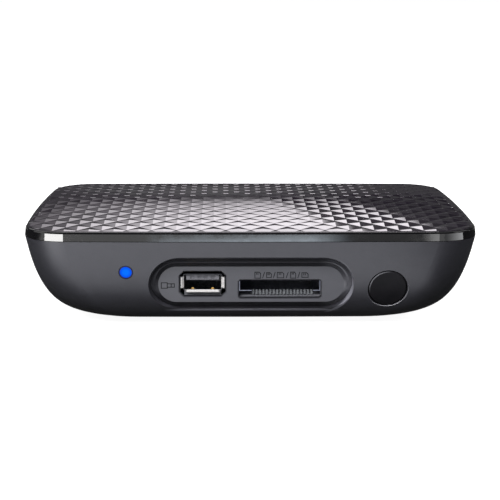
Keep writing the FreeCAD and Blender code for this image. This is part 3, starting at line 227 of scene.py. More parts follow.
# Soft boxes that gloss reflects: a place on the object, azimuth, elevation and distance from
# there, the place that the box is turned to, its size and its colour
TOP_START = (0, -0.020, 0.036)
LEFT_START = (-0.066, -0.047, RIM_HEIGHT)
RIGHT_START = (0.068, -0.046, RIM_HEIGHT)
SMALL_START = (0.062, -0.05, RIM_HEIGHT)
BOXES = {
    "top": (TOP_START, 0, 30, 0.35, TOP_START, (0.36, 0.146), (1.0, 0.945, 0.995)),
    "left": (LEFT_START, 215.5, 1.5, 0.3, LEFT_START, (0.27, 0.05), (1.0, 0.99, 0.98)),
    "right": (RIGHT_START, 127, 0.5, 0.3, RIGHT_START, (0.32, 0.05), (0.97, 0.98, 1.0)),
    "small": (SMALL_START, 168, 1.5, 0.3, RIGHT_START, (0.012, 0.05), WHITE),
}

# Lamps: name, place, target, size, power and colour
LOW_AIM = (0, 0, 0.02)
LAMPS = (
    ("lamp_top", (-0.2, 0.5, 1.3), (0, 0, 0.03), (1.0, 0.8), 8.0, (1, 0.98, 0.99)),
    ("lamp_front", (-0.4, -1.1, 0.9), LOW_AIM, (0.7, 0.6), 17.0, WHITE),
    ("lamp_back", (0.1, 1.3, 0.5), LOW_AIM, (0.8, 0.5), 16.0, WHITE),
    ("lamp_right", (1.1, 0.55, 0.45), LOW_AIM, (0.5, 0.5), 9.0, WHITE),
    ("lamp_left", (-1.0, 0.9, 0.45), LOW_AIM, (0.5, 0.5), 6.0, WHITE),
)

# A unit so long that places along its way count for nothing
ENDLESS = 1000


# Nodes
class Nodes:
    """Adds nodes to one shader tree and links them."""

    def __init__(self, tree):
        self.tree = tree

    @cached_property
    def place(self):
        """The piece's own coordinates, in metres."""
        return self.add("TexCoord").outputs["Object"]

    def add(self, kind, inputs=None, **settings):
        """A new node with its settings, and then with values or other nodes' outputs put in."""
        node = self.tree.nodes.new("ShaderNode" + kind)
        for key, value in settings.items():
            setattr(node, key, value)
        for key, value in (inputs or {}).items():
            self.feed(node.inputs[key], value)
        return node

    def feed(self, socket, value):
        if isinstance(value, bpy.types.NodeSocket):
            self.tree.links.new(value, socket)
        else:
            socket.default_value = value

    def chain(self, operation, values):
        """Joins values, two at a time, into one."""
        total = values[0]
        for value in values[1:]:
            total = self.add("Math", {0: total, 1: value}, operation=operation).outputs[0]
        return total

    def times(self, *values):
        return self.chain("MULTIPLY", values)

    def most(self, *values):
        return self.chain("MAXIMUM", values)

    def vector(self, operation, *inputs, output="Vector"):
        step = self.add("VectorMath", dict(enumerate(inputs)), operation=operation)
        return step.outputs[output]

    def length(self, place):
        return self.vector("LENGTH", place, output="Value")

    def from_centre(self, centre, unit):
        """Places counted from a centre in units of their own for x, y and z, in metres."""
        inputs = {"Vector": self.place, "Location": centre, "Scale": unit}
        return self.add("Mapping", inputs, vector_type="TEXTURE").outputs["Vector"]

    def fade(self, value, start, end, first=0, last=1, kind="SMOOTHSTEP"):
        """Runs from first at start to last at end."""
        names = ("Value", "From Min", "From Max", "To Min", "To Max")
        inputs = dict(zip(names, (value, start, end, first, last)))
        return self.add("MapRange", inputs, interpolation_type=kind).outputs["Result"]

    def blob(self, centre, unit, inner, outer, low, high):
        """From high inside an oval to low outside it, in the piece's own coordinates."""
        far = self.length(self.from_centre(centre, unit))
        return self.fade(far, inner, outer, high, low)

    def ball(self, place):
        """Runs from one at the middle to nought at a unit's distance."""
        return self.add("TexGradient", {"Vector": place}, gradient_type="SPHERICAL").outputs["Fac"]

    def mix(self, factor, first, second):
        inputs = {"Factor": factor, "A": first, "B": second}
        return self.add("Mix", inputs, data_type="RGBA").outputs["Result"]

    def seen(self):
        """One for the rays that see the white room, and nought for those that light things."""
        rays = self.add("LightPath").outputs
        kinds = ("Is Camera Ray", "Is Glossy Ray", "Is Transmission Ray")
        return self.most(*(rays[kind] for kind in kinds))

    def surface(self, source):
        """Makes a shader the material's surface."""
        self.feed(self.tree.nodes["Material Output"].inputs["Surface"], source)


class Surface(Nodes):
    """A procedural material round one Principled shader."""

    def __init__(self, name):
        self.material = bpy.data.materials.new(name)
        self.material.use_nodes = True
        super().__init__(self.material.node_tree)
        self.shader = self.tree.nodes["Principled BSDF"]

    def give(self, **inputs):
        """Sets or links the shader's own sockets."""
        for key, value in inputs.items():
            self.feed(self.shader.inputs[key.replace("_", " ")], value)

    def noise(self, size, detail, stretch=(1, 1, 1)):
        """Noise whose features are about size millimetres across."""
        place = self.add("Mapping", {"Vector": self.place, "Scale": stretch}).outputs["Vector"]
        inputs = {"Vector": place, "Scale": 1 / (size * MM), "Detail": detail}
        return self.add("TexNoise", inputs).outputs["Fac"]

    def ramp(self, factor, low, high, start=0.35, end=0.65):
        """A colour that runs from low to high as factor runs from start to end."""
        ramp = self.add("ValToRGB", {"Fac": factor})
        for stop, place, colour in zip(ramp.color_ramp.elements, (start, end), (low, high)):
            stop.position = place
            stop.color = (*colour, 1)
        return ramp.outputs["Color"]

    def grey(self, factor, low, high, start=0.35, end=0.65):
        return self.ramp(factor, (low,) * 3, (high,) * 3, start, end)

    def mottled(self, dark, pale, size=5.0, detail=4, stretch=(1, 1, 1)):
        """A colour that wanders between two near ones."""
        return self.ramp(self.noise(size, detail, stretch), dark, pale)

    def bump(self, height, strength, depth):
        """Raises the surface by up to depth millimetres."""
        inputs = {"Height": height, "Strength": strength, "Distance": depth * MM}
        self.give(Normal=self.add("Bump", inputs).outputs["Normal"])

    def inside(self, centre, half, soft=0.1):
        """One inside a box given by its centre and half sizes in millimetres, nought outside."""
        place = self.from_centre(Vector(centre) * MM, Vector(half) * MM)
        parts = self.add("SeparateXYZ", {"Vector": self.vector("ABSOLUTE", place)}).outputs
        return self.fade(self.most(*parts), 1 - soft, 1 + soft, 1, 0, "LINEAR")

    def inside_any(self, start, boxes):
        """One inside any of some boxes, whose centres count from start."""
        start = Vector(start)
        return self.most(*(self.inside(start + Vector(centre), half) for centre, half in boxes))

    def around(self, centre, radius):
        """Places across an upright round or long face, in radii from its centre, y left out."""
        unit = (radius * MM, ENDLESS, radius * MM)
        return self.from_centre(Vector(centre) * MM, unit)

    def shrunk(self, place, half):
        """Brings a long shape's straight part together, so that its ends make a circle."""
        less = self.vector("SUBTRACT", self.vector("ABSOLUTE", place), (half, 0, 0))
        return self.vector("MAXIMUM", less)

    def along(self, place, way, start, end):
        """Runs from nought to one as a place goes from start to end along a way."""
        return self.fade(self.vector("DOT_PRODUCT", place, way, output="Value"), start, end)

    def band(self, value, start, full, fading, end):
        """One from full to fading, nought before start and after end."""
        return self.times(self.fade(value, start, full), self.fade(value, end, fading))


# Materials
def satin_finish(m):
    """The fine grain of a spark-eroded mould."""
    m.give(Roughness=m.grey(m.noise(0.5, 2), 0.38, 0.46))
    m.bump(m.noise(0.16, 2), 0.22, 0.02)


def satin_plastic():
    """Satin dark grey plastic, with a painted highlight on the edge and painted shade on the slope
    at the recess's lip.
    """
    m = Surface("satin_plastic")
    skin = m.mottled((0.042, 0.042, 0.051), (0.048, 0.048, 0.058))
    # Painted shade for the lip's slope, and a pale painted highlight for the lip's line and low
    # edge
    shaded_slope = m.mottled((0.015, 0.015, 0.019), (0.019, 0.019, 0.023))
    painted_sheen = m.mottled((0.34, 0.34, 0.39), (0.38, 0.38, 0.43))
    # Round the lip the painted highlight line is only an arc, at the low corner of its right end.
    # Its straight run along the bottom is a box
    place = m.around(LIP_MIDDLE, LIP_HALF_Z)
    highlight_line = m.band(m.length(m.shrunk(place, LIP_STRAIGHT / LIP_HALF_Z)), *LIP_HIGHLIGHT_LINE)
    low_right = m.along(place, (0.6, 0, -0.8), 0.8, 1.8)
    right_end = m.along(place, (1, 0, 0), 2.15, 2.45)
    front = m.along(m.place, (0, -1, 0), 0.03, 0.04)
    painted_arc = m.times(highlight_line, low_right, front, right_end)
    # The low edge of the lip gets the painted highlight too, and the slope above it the painted
    # shade
    lit_low_edge = m.inside(LIP_LIT_EDGE, LIP_LIT_EDGE_HALF)
    base = m.mix(m.inside(LIP_SHADED_SLOPE, LIP_SHADED_SLOPE_HALF), skin, shaded_slope)
    m.give(Specular_IOR_Level=0.9, Base_Color=m.mix(m.most(painted_arc, lit_low_edge), base, painted_sheen))
    satin_finish(m)
    return m.material


def recess_plastic():
    """The plastic round the sockets: a pale flat, painted shade on the ring but for a painted
    highlight at its right end, and painted shade on the walls behind the flat.
    """
    m = Surface("recess_plastic")
    flat = m.mottled((0.058, 0.058, 0.069), (0.066, 0.066, 0.078))
    # Painted shade for the ring, less dark at its low part, a painted highlight for the ring's
    # right end, and painted shade for the walls behind the flat
    dark = m.mottled((0.025, 0.025, 0.030), (0.030, 0.030, 0.036))
    lower_ring_shade = m.mottled((0.040, 0.040, 0.047), (0.046, 0.046, 0.054))
    pale = m.mottled((0.068, 0.068, 0.080), (0.076, 0.076, 0.089))
    shaded_wall = m.mottled((0.008, 0.008, 0.009), (0.012, 0.012, 0.014))
    # The ring is all that lies outside the flat's outline, seen from the front
    place = m.around(PANEL_MIDDLE, PANEL_HALF_Z)
    ring = m.fade(m.length(m.shrunk(place, PANEL_STRAIGHT / PANEL_HALF_Z)), 0.99, 1.01)
    left = m.along(place, (1, 0, 0), 4.6, 3.6)
    low = m.along(place, (0, 0, -1), 0.7, 1.1)
    behind = m.inside(SHADED_SOCKET_WALLS, SHADED_SOCKET_WALLS_HALF)
    side = m.mix(left, pale, m.mix(low, dark, lower_ring_shade))
    m.give(Base_Color=m.mix(behind, m.mix(ring, flat, side), shaded_wall))
    # Where the shade is painted, the reflections are turned down as well
    shaded_dull = m.most(m.times(ring, left), behind)
    m.give(Specular_IOR_Level=m.grey(shaded_dull, 0.9, 0.25, 0.0, 1.0))
    satin_finish(m)
    return m.material


def gloss_plastic():
    """Gloss black plastic, polished, with faint wiping marks."""
    m = Surface("gloss_plastic")
    m.give(Specular_IOR_Level=0.8)
    m.give(Base_Color=m.mottled((0.005, 0.005, 0.006), (0.007, 0.007, 0.008), 8.0, 3))
    m.give(Roughness=m.grey(m.noise(2.5, 4, (1, 6, 1)), 0.05, 0.09))
    return m.material


def diamond_film():
    """The smoke-coloured plate under its clear gloss."""
    m = Surface("diamond_film")
    m.give(Specular_IOR_Level=0.9)
    m.give(Base_Color=m.mottled((0.012, 0.010, 0.014), (0.016, 0.013, 0.019), 6.0, 3))
    m.give(Roughness=m.grey(m.noise(1.5, 3), 0.04, 0.07))
    return m.material


def smoked_window():
    """Smoked plastic, with a painted highlight arc at its upper left where its rim turns."""
    m = Surface("smoked_window")
    low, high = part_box("ir_window")
    face = m.mottled((0.021, 0.021, 0.024), (0.026, 0.025, 0.029), 4.0, 2)
    # A paler colour on the rim as a painted highlight
    rim_highlight = m.mottled((0.19, 0.19, 0.21), (0.23, 0.23, 0.25), 2.0, 2)
    place = m.around((low + high) / 2 / MM, WINDOW_R)
    upper_left = m.along(place, (-0.75, 0, 0.66), 0.45, 0.9)
    painted_arc = m.times(m.band(m.length(place), *WINDOW_HIGHLIGHT_ARC), upper_left)
    m.give(Specular_IOR_Level=0.06, Base_Color=m.mix(painted_arc, face, rim_highlight))
    m.give(Roughness=m.grey(m.noise(1.2, 3), 0.10, 0.16))
    return m.material


def blue_light():
    """The status light, lit: an even blue that is a little paler in its middle."""
    m = Surface("blue_light")
    low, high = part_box("led_lens")
    radius = (high.x - low.x) / 2
    middle = m.ball(m.from_centre((low + high) / 2, (radius, 1, radius)))
    m.give(Emission_Color=m.ramp(middle, (0.0, 0.075, 0.85), (0.0, 0.17, 1.0), 0.0, 0.6))
    m.give(Emission_Strength=0.95, Base_Color=(0.0, 0.01, 0.1, 1), Roughness=0.3)
    m.give(Specular_IOR_Level=0.05)
    return m.material


def light_ring():
    m = Surface("light_ring")
    m.give(Specular_IOR_Level=0.4)
    m.give(Base_Color=m.mottled((0.003, 0.010, 0.09), (0.004, 0.013, 0.11), 0.8, 2))
    m.give(Roughness=m.grey(m.noise(0.5, 2), 0.25, 0.35))
    return m.material


def moulded(name, dark, pale, rough=(0.45, 0.55), grain=0.02):
    """Plain moulded plastic in one colour with a fine surface."""
    m = Surface(name)
    m.give(Base_Color=m.mottled(dark, pale, 1.5, 3))
    m.give(Roughness=m.grey(m.noise(0.6, 2), *rough))
    m.bump(m.noise(0.2, 2), 0.15, grain)
    return m.material


def metal(name, dark, pale, rough, stretch=(1, 14, 1), metallic=1.0):
    """Bright metal with fine drawing marks along one way."""
    m = Surface(name)
    m.give(Metallic=metallic, Base_Color=m.mottled(dark, pale, 0.6, 3, stretch))
    m.give(Roughness=m.grey(m.noise(0.35, 3, stretch), *rough))
    m.bump(m.noise(0.12, 2, stretch), 0.1, 0.01)
    return m.material


def socket_steel():
    """The plug socket's sheet: a painted reflection in white on its flared tabs, painted shade
    inside, with gilt dimples.
    """
    m = Surface("socket_steel")
    # Painted shade for the sheet inside, and a painted reflection, white and not metal, on the tabs
    shaded_dull = m.mottled((0.035, 0.035, 0.038), (0.05, 0.05, 0.054), 0.6, 3)
    painted_tab_glint = m.mottled((0.90, 0.88, 0.86), (0.97, 0.95, 0.93), 0.5, 3)
    gilt = m.mottled((0.85, 0.50, 0.14), (0.95, 0.60, 0.20), 0.5, 3)
    tabs = m.inside_any(USB_MOUTH, USB_TABS)
    dimples = m.inside_any(USB_MOUTH, USB_DIMPLES)
    m.give(Base_Color=m.mix(dimples, m.mix(tabs, shaded_dull, painted_tab_glint), gilt))
    m.give(Metallic=m.grey(m.most(tabs, dimples), 1.0, 0.0, 0.0, 1.0))
    m.give(Roughness=m.grey(m.noise(0.4, 3), 0.25, 0.38))
    return m.material


def board_laminate():
    """Green coated laminate with paler copper lines under the coat."""
    m = Surface("board_laminate")
    inputs = {
        "Vector": m.place,
        "Scale": 1 / (9 * MM),
        "Mortar Size": 0.035,
        "Color1": (0.010, 0.075, 0.030, 1),
        "Color2": (0.013, 0.090, 0.036, 1),
        "Mortar": (0.030, 0.160, 0.065, 1),
    }
    m.give(Base_Color=m.add("TexBrick", inputs, offset=0.37, squash=1.0).outputs["Color"])
    m.give(Roughness=m.grey(m.noise(2.0, 3), 0.28, 0.40))
    return m.material


def rubber():
    m = Surface("foot_rubber")
    m.give(Specular_IOR_Level=0.3)
    m.give(Base_Color=m.mottled((0.016, 0.016, 0.017), (0.026, 0.026, 0.027), 1.0, 4))
    m.give(Roughness=m.grey(m.noise(0.6, 2), 0.75, 0.9))
    m.bump(m.noise(0.3, 3), 0.3, 0.04)
    return m.material


def painted_bevel_sheen(centre):
    """The window's bevel, with a painted highlight that is brightest at the lower right."""
    m = Surface("painted_bevel_sheen")
    highlight_side = m.along(m.around(centre, WINDOW_HOLE_R), (0.75, 0, -0.66), -0.1, 0.9)
    m.give(Base_Color=m.ramp(highlight_side, (0.25, 0.25, 0.28), (0.85, 0.85, 0.90), 0.0, 1.0))
    m.give(Roughness=m.grey(m.noise(0.6, 2), 0.22, 0.3))
    return m.material


def slot_materials():
    """The material of each slot."""
    steel = ((0.68, 0.67, 0.66), (0.82, 0.81, 0.80), (0.18, 0.30))
    gilt = ((0.80, 0.58, 0.24), (0.92, 0.70, 0.34), (0.2, 0.3))
    can = ((0.66, 0.66, 0.68), (0.76, 0.76, 0.78), (0.3, 0.4), (1, 1, 10))
    plain = {
        "black_plastic": ((0.010, 0.010, 0.011), (0.016, 0.016, 0.017)),
        "white_plastic": ((0.66, 0.66, 0.64), (0.74, 0.74, 0.72)),
        "yellow_plastic": ((0.72, 0.47, 0.02), (0.80, 0.54, 0.03)),
        "red_plastic": ((0.48, 0.02, 0.02), (0.56, 0.03, 0.03)),
        "chip_black": ((0.018, 0.018, 0.019), (0.026, 0.026, 0.027)),
        "anodised": ((0.025, 0.025, 0.028), (0.035, 0.035, 0.038), (0.35, 0.45)),
        "pad_grey": ((0.30, 0.32, 0.35), (0.36, 0.38, 0.41), (0.7, 0.8)),
        "led_clear": ((0.40, 0.50, 0.80), (0.48, 0.58, 0.88), (0.1, 0.2)),
    }
    return {
        "gloss_cover": gloss_plastic(),
        "diamond_plate": diamond_film(),
        "satin_shell": satin_plastic(),
        "smoked_window": smoked_window(),
        "blue_lens": blue_light(),
        "board_green": board_laminate(),
        "foot_rubber": rubber(),
        "bright_steel": metal("bright_steel", *steel, metallic=0.6),
        "contact_metal": metal("contact_metal", *gilt, metallic=0.6),
        "can_metal": metal("can_metal", *can),
        **{slot: moulded(slot, *look) for slot, look in plain.items()},
    }


def node_materials():
    """Materials of single nodes, which take the place of their slot's."""
    tin = ((0.17, 0.18, 0.19), (0.22, 0.23, 0.24), (0.3, 0.4))
    cover = ((0.18, 0.19, 0.23), (0.24, 0.25, 0.29), (0.3, 0.4))
    shaded = ((0.010, 0.009, 0.007), (0.016, 0.014, 0.011))
    return {
        "led_ring": light_ring(),
        "port_panel": recess_plastic(),
        "usb_shell": socket_steel(),
        "usb_insulator": moulded("tongue_plastic", (0.22, 0.22, 0.245), (0.26, 0.26, 0.285)),
        "usb_contacts": moulded("shaded_contacts", *shaded),
        "card_housing": moulded("socket_plastic", (0.26, 0.26, 0.29), (0.30, 0.30, 0.33)),
        "card_cover": metal("cover_steel", *cover),
        "card_contacts": moulded("tinned_contacts", *tin),
    }


def dress_nodes():
    """Gives each CAD node the material of its slot, or one of its own."""
    slots = {row["node"]: row["material_slot"] for row in frame["record"]["subparts"]}
    by_slot = slot_materials()
    own = node_materials()
    for name, node in NODES.items():
        material = own[name] if name in own else by_slot[slots[name]]
        for slot in node.material_slots:
            slot.material = material


# Pieces of the scene's own
def new_piece(name, places, faces, material):
    """A closed mesh of places in millimetres that rides on the housing."""
    shape = bmesh.new()
    corners = [shape.verts.new(Vector(place) * MM) for place in places]
    for face in faces:
        shape.faces.new([corners[i] for i in face])
    bmesh.ops.recalc_face_normals(shape, faces=shape.faces)
    mesh = bpy.data.meshes.new(name)
    shape.to_mesh(mesh)
    shape.free()
    mesh.materials.append(material)
    piece = bpy.data.objects.new(name, mesh)
    bpy.context.scene.collection.objects.link(piece)
    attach(piece, "housing")


def swept_ring(name, path, profile, material):
    """A closed ring. path gives each place with its outward and upward ways."""
    places = [place + a * out + b * up for place, out, up in path for a, b in profile]
    count = len(profile)
    faces = []
    for i in range(len(path)):
        here = i * count
        there = (i + 1) % len(path) * count
        for j in range(count):
            k = (j + 1) % count
            faces.append((here + j, there + j, there + k, here + k))
    new_piece(name, places, faces, material)


def add_block(places, faces, first, second):
    """Adds the block between two loops of four corners."""
    base = len(places)
    places += [*first, *second]
    faces += [tuple(range(base, base + 4)), tuple(range(base + 7, base + 3, -1))]
    for i in range(4):
        j = (i + 1) % 4
        faces.append((base + i, base + 4 + i, base + 4 + j, base + j))


def plate_corners():
    """The places of the top plate's corners, in millimetres."""
    node = NODES["top_plate"]
    return [(node.matrix_world @ v.co) / MM for v in node.data.vertices]


def plate_bead():
    """The bright edge of the plate, seen all round just inside the gloss band."""
    flat = [place.xy for place in plate_corners()]
    corners = []
    for i in convex_hull_2d(flat):
        if not corners or (flat[i] - corners[-1]).length > BEAD_STEP:
            corners.append(flat[i])
    path = []
    for i, corner in enumerate(corners):
        along = corners[(i + 1) % len(corners)] - corners[i - 1]
        out = Vector((along.y, -along.x, 0)).normalized()
        if out.xy.dot(corner) < 0:
            out = -out
        path.append((Vector((*corner, RIM_Z)), out, Vector((0, 0, 1))))
    film = moulded("bead_film", *FILM_COLOURS, (0.08, 0.12), FILM_GRAIN)
    swept_ring("plate_bead", path, BEAD_PROFILE, film)


def plate_tops():
    """The tops of the plate's pyramids: corners that are higher than all their neighbours."""
    keys = [(round(p.x, 2), round(p.y, 2), round(p.z, 2)) for p in plate_corners()]
    near = {}
    for edge in NODES["top_plate"].data.edges:
        first, second = (keys[i] for i in edge.vertices)
        near.setdefault(first, set()).add(second)
        near.setdefault(second, set()).add(first)
    tops = []
    for key in sorted(near):
        if len(near[key]) >= 4 and all(other[2] < key[2] - TOP_DROP for other in near[key]):
            tops.append(Vector(key))
    return tops


def top_flats():
    """The small polished flats on the tops of the plate's rear pyramids, which catch the light."""
    highest = CAD_BOX[1][2] / MM - FLAT_MARGIN
    x, y = FLAT_HALF
    front_x = x * FLAT_TAPER
    front_rise = FLAT_RISE - 2 * y * FLAT_LEAN
    corners = (
        (-front_x, -y, front_rise),
        (front_x, -y, front_rise),
        (x, y, FLAT_RISE),
        (-x, y, FLAT_RISE),
    )
    places = []
    faces = []
    for top in plate_tops():
        if top.y < FLATS_FROM_Y or top.z + FLAT_RISE > highest:
            continue
        low = [top + Vector((across, along, -FLAT_SUNK)) for across, along, _ in corners]
        add_block(places, faces, low, [top + Vector(corner) for corner in corners])
    film = moulded("flat_film", *FILM_COLOURS, (0.1, 0.16), FILM_GRAIN)
    new_piece("plate_flats", places, faces, film)


def window_edge():
    """The bevel round the hole of the infrared window, on the shell's curved skin."""
    shell = NODES["lower_shell"]
    low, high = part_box("ir_window")
    centre = (low + high) / 2 / MM
    inward = shell.matrix_world.inverted()
    ahead = (inward.to_3x3() @ Vector((0, 1, 0))).normalized()
    path = []
    for i in range(EDGE_STEPS):
        angle = math.tau * i / EDGE_STEPS
        out = Vector((math.cos(angle), 0, math.sin(angle)))
        start = centre + out * (WINDOW_HOLE_R + EDGE_OUT)
        start.y = FRONT_START_Y
        hit, place, _, _ = shell.ray_cast(inward @ (start * MM), ahead)
        if hit:
            path.append(((shell.matrix_world @ place) / MM, out, Vector((0, -1, 0))))
    # The bevel's colour is a painted highlight
    swept_ring("window_edge", path, EDGE_PROFILE, painted_bevel_sheen(centre))


def printed_marks(name, strokes, material):
    """Printed strokes, each between two points (x, z), on the flat of the port recess."""
    face_y = PANEL_MIDDLE[1]
    places = []
    faces = []
    for first, second in strokes:
        start = Vector(first)
        end = Vector(second)
        along = (end - start).normalized() * INK_W / 2
        side = Vector((-along.y, along.x))
        flat = (start - along + side, start - along - side, end + along - side, end + along + side)
        front, back = ([(p.x, y, p.y) for p in flat] for y in (face_y - INK_T, face_y + INK_T))
        add_block(places, faces, front, back)
    new_piece(name, places, faces, material)


def closed_line(points):
    return list(zip(points, points[1:] + points[:1]))


def plug_strokes():
    """A plain plug that points at the socket: its grip, its metal end and two holes."""
    x, z = PLUG_MARK
    strokes = []
    for left, right, half in PLUG_BOXES:
        sides = ((left, -half), (right, -half), (right, half), (left, half))
        strokes += closed_line([(x + across, z + rise) for across, rise in sides])
    left, right, rise = PLUG_HOLES
    for height in (z - rise, z + rise):
        strokes.append(((x + left, height), (x + right, height)))
    return strokes


def card_strokes():
    """A row of plain card outlines of several sizes, with slanted strokes between them."""
    strokes = []
    for x, width, height in CARD_MARKS:
        left, right = x - width / 2, x + width / 2
        low, high = CARD_MARK_Z - height / 2, CARD_MARK_Z + height / 2
        cut = [(right, high - CARD_CUT), (right - CARD_CUT, high)]
        strokes += closed_line([(left, low), (right, low), *cut, (left, high)])
        for part in CARD_STRIPES:
            stripe = left + part * width
            strokes.append(tuple((stripe, high - drop) for drop in STRIPE_FROM_TOP))
    half_x, half_z = SLASH_HALF
    for first, second in zip(CARD_MARKS, CARD_MARKS[1:]):
        x = (first[0] + first[1] / 2 + second[0] - second[1] / 2) / 2
        strokes.append(((x - half_x, CARD_MARK_Z - half_z), (x + half_x, CARD_MARK_Z + half_z)))
    return strokes


def make_pieces():
    plate_bead()
    top_flats()
    window_edge()
    ink = moulded("mark_ink", (0.004, 0.004, 0.005), (0.008, 0.008, 0.009), (0.8, 0.9))
    printed_marks("plug_mark", plug_strokes(), ink)
    printed_marks("card_marks", card_strokes(), ink)


# Studio
def hide_from(piece, *kinds):
    """Lets rays of these kinds pass as if the piece were not there."""
    for kind in kinds:
        setattr(piece, "visible_" + kind, False)


def only_gloss(piece):
    """Lets only gloss see a card."""
    hide_from(piece, "camera", "diffuse", "shadow", "transmission")


def level(x0, x1, y0, y1, z):
    """Corners of a level card."""
    return [(x0, y0, z), (x1, y0, z), (x1, y1, z), (x0, y1, z)]


def upright(x0, x1, y, z0, z1, z2=None):
    """Corners of an upright card across the view, from z0 up to z1 at x0 and z2 at x1."""
    return [(x0, y, z0), (x1, y, z0), (x1, y, z1 if z2 is None else z2), (x0, y, z1)]


def sideways(x, y0, y1, z1):
    """Corners of an upright card along the view at x, from the floor up to z1."""
    return [(x, y0, SIDE_FLAG_Z), (x, y1, SIDE_FLAG_Z), (x, y1, z1), (x, y0, z1)]


def sheet(name, corners, material):
    """A four-cornered card that stands in the studio."""
    mesh = bpy.data.meshes.new(name)
    mesh.from_pydata(corners, [], [tuple(range(len(corners)))])
    mesh.materials.append(material)
    piece = bpy.data.objects.new(name, mesh)
    bpy.context.scene.collection.objects.link(piece)
    return piece


def aim(azimuth, elevation, distance, start):
    """A point that far from start. Azimuth 0 is behind the object, and 90 is at its right."""
    a = math.radians(azimuth)
    e = math.radians(elevation)
    way = Vector((math.sin(a) * math.cos(e), math.cos(a) * math.cos(e), math.sin(e)))
    return Vector(start) + distance * way


def soft_box(name, centre, target, size, material):
    """A card of size metres at centre, turned to target, which only gloss reflects."""
    x = size[0] / 2
    y = size[1] / 2
    piece = sheet(name, level(-x, x, -y, y, 0), material)
    piece.location = centre
    piece.rotation_mode = "QUATERNION"
    piece.rotation_quaternion = (Vector(centre) - Vector(target)).to_track_quat("Z", "Y")
    only_gloss(piece)


def make_lamp(name, place, target, size, power, colour):
    """A soft lamp of size metres at place, turned to target."""
    data = bpy.data.lights.new(name, "AREA")
    data.shape = "RECTANGLE"
    data.size, data.size_y = size
    data.energy = power
    data.color = colour
    lamp = bpy.data.objects.new(name, data)
    lamp.location = place
    way = Vector(target) - Vector(place)
    lamp.rotation_mode = "QUATERNION"
    lamp.rotation_quaternion = way.to_track_quat("-Z", "Y")
    hide_from(lamp, "camera", "glossy")
    bpy.context.scene.collection.objects.link(lamp)


def glow_material(name, strength, colour=WHITE):
    """A card's own light. strength is a number, or a function that makes it with nodes."""
    material = bpy.data.materials.new(name)
    material.use_nodes = True
    n = Nodes(material.node_tree)
    n.tree.nodes.remove(n.tree.nodes["Principled BSDF"])
    inputs = {"Color": (*colour, 1), "Strength": strength(n) if callable(strength) else strength}
    n.surface(n.add("Emission", inputs).outputs[0])
    return material


def rear_glow(n):
    """A soft grey patch on the near black rear flags."""
    return n.blob(*REAR_PATCH)


def table_glow(n):
    """A lit field on the table in front of the object, and a spot at the object's left corner."""
    field = n.times(n.blob(*TABLE_ACROSS), n.blob(*TABLE_ALONG))
    return n.most(field, n.blob(*TABLE_CORNER))


def top_glow(n):
    """An oval on the top box, cut off by a curve at the picture's right and at its low end."""
    ends = n.times(n.blob(*TOP_RIGHT_END), n.blob(*TOP_LOW_END))
    return n.times(n.blob(*TOP_OVAL), ends)


def right_glow(n):
    """The right box fades away from its bright end."""
    return n.blob(*RIGHT_FADE)


def ribbon_glow(n):
    """The ribbon is bright in its middle and dark at both ends."""
    return n.blob(*RIBBON_FADE)


def make_world():
    world = bpy.data.worlds.new("studio_world")
    world.use_nodes = True
    bpy.context.scene.world = world
    n = Nodes(world.node_tree)
    n.feed(n.tree.nodes["Background"].inputs["Color"], n.mix(n.seen(), AMBIENT, (*WHITE, 1)))


def make_floor():
    """A pale floor, white to the camera away from the object's shadow."""
    material = bpy.data.materials.new("stage_floor")
    material.use_nodes = True
    n = Nodes(material.node_tree)
    spread = n.add("Mapping", {"Vector": n.place, "Scale": (1 / FLOOR_FADE,) * 3})
    near = n.fade(n.ball(spread.outputs["Vector"]), 0, 1, 1.0, FLOOR_GLOW, "LINEAR")
    diffuse = n.add("BsdfDiffuse", {"Color": FLOOR_GREY}).outputs[0]
    glow = n.add("Emission", {"Strength": near}).outputs[0]
    both = n.add("AddShader", {0: diffuse, 1: glow}).outputs[0]
    n.surface(n.add("MixShader", {"Fac": n.seen(), 1: diffuse, 2: both}).outputs[0])
    sheet("studio_floor", level(*FLOOR), material)


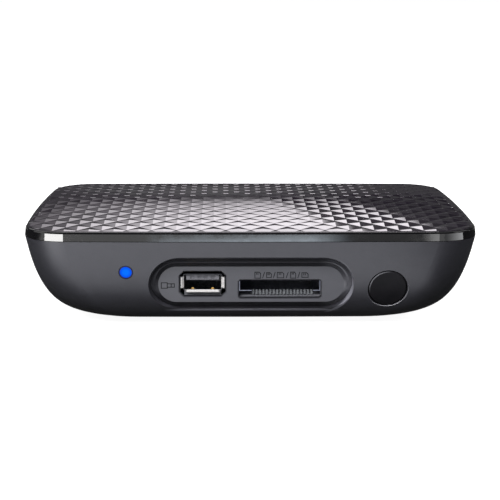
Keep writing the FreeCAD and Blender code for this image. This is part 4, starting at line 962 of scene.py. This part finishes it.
def make_flags():
    """Black cards that gloss reflects instead of the white of the room."""
    dark = glow_material("stage_flag", FLAG_GLOW)
    dim = glow_material("stage_dim_flag", DIM_FLAG_GLOW)
    rear = glow_material("stage_rear_flag", rear_glow)
    cards = (
        ("rear", upright(*REAR_FLAG), rear),
        ("left", upright(*LEFT_FLAG), rear),
        ("right", upright(*RIGHT_FLAG), dark),
        ("front", upright(*FRONT_FLAG), dark),
        ("roof", level(*ROOF_FLAG), dark),
        ("dim", upright(*DIM_FLAG), dim),
        ("left_side", sideways(*LEFT_SIDE_FLAG), dark),
        ("right_side", sideways(*RIGHT_SIDE_FLAG), dark),
    )
    for name, corners, material in cards:
        only_gloss(sheet("studio_flag_" + name, corners, material))


def make_tables():
    """The dark mat, and the cards over it that gloss reflects from below."""
    mat = sheet("studio_mat", level(*MAT), glow_material("stage_mat", MAT_GLOW))
    hide_from(mat, "camera", "shadow", "transmission")
    front = glow_material("stage_table", table_glow, (0.93, 0.94, 1.0))
    only_gloss(sheet("studio_table", level(*TABLE), front))
    rear = glow_material("stage_rear_table", REAR_TABLE_GLOW)
    only_gloss(sheet("studio_rear_table", level(*REAR_TABLE), rear))


def make_boxes():
    """Soft boxes and a ribbon that show only as reflections, where the photograph has them."""
    strengths = {"top": top_glow, "left": LEFT_GLOW, "right": right_glow, "small": SMALL_GLOW}
    for name, (start, azimuth, elevation, distance, target, size, colour) in BOXES.items():
        material = glow_material(f"stage_{name}_box", strengths[name], colour)
        centre = aim(azimuth, elevation, distance, start)
        soft_box(f"studio_{name}_box", centre, target, size, material)
    ribbon = glow_material("stage_ribbon", ribbon_glow, (0.80, 0.90, 1.0))
    only_gloss(sheet("studio_ribbon", upright(*RIBBON), ribbon))


def make_studio():
    make_world()
    make_floor()
    make_flags()
    make_tables()
    make_boxes()
    for lamp in LAMPS:
        make_lamp(*lamp)


def make_camera():
    data = bpy.data.cameras.new("photo_camera")
    data.sensor_width = SENSOR
    data.lens = FOCAL_PIXELS * SENSOR / PICTURE_SIDE
    data.clip_start = 0.01
    camera = bpy.data.objects.new("photo_camera", data)
    camera.location = Vector(CAMERA_AT) * MM
    flat = math.cos(CAMERA_PITCH)
    ahead = Vector(
        (math.sin(CAMERA_YAW) * flat, math.cos(CAMERA_YAW) * flat, -math.sin(CAMERA_PITCH))
    )
    camera.rotation_mode = "QUATERNION"
    roll = Matrix.Rotation(CAMERA_ROLL, 3, "Z").to_quaternion()
    camera.rotation_quaternion = ahead.to_track_quat("-Z", "Y") @ roll
    bpy.context.scene.collection.objects.link(camera)
    bpy.context.scene.camera = camera


dress_nodes()
make_pieces()
make_studio()
make_camera()
bpy.context.scene.view_settings.view_transform = "Standard"
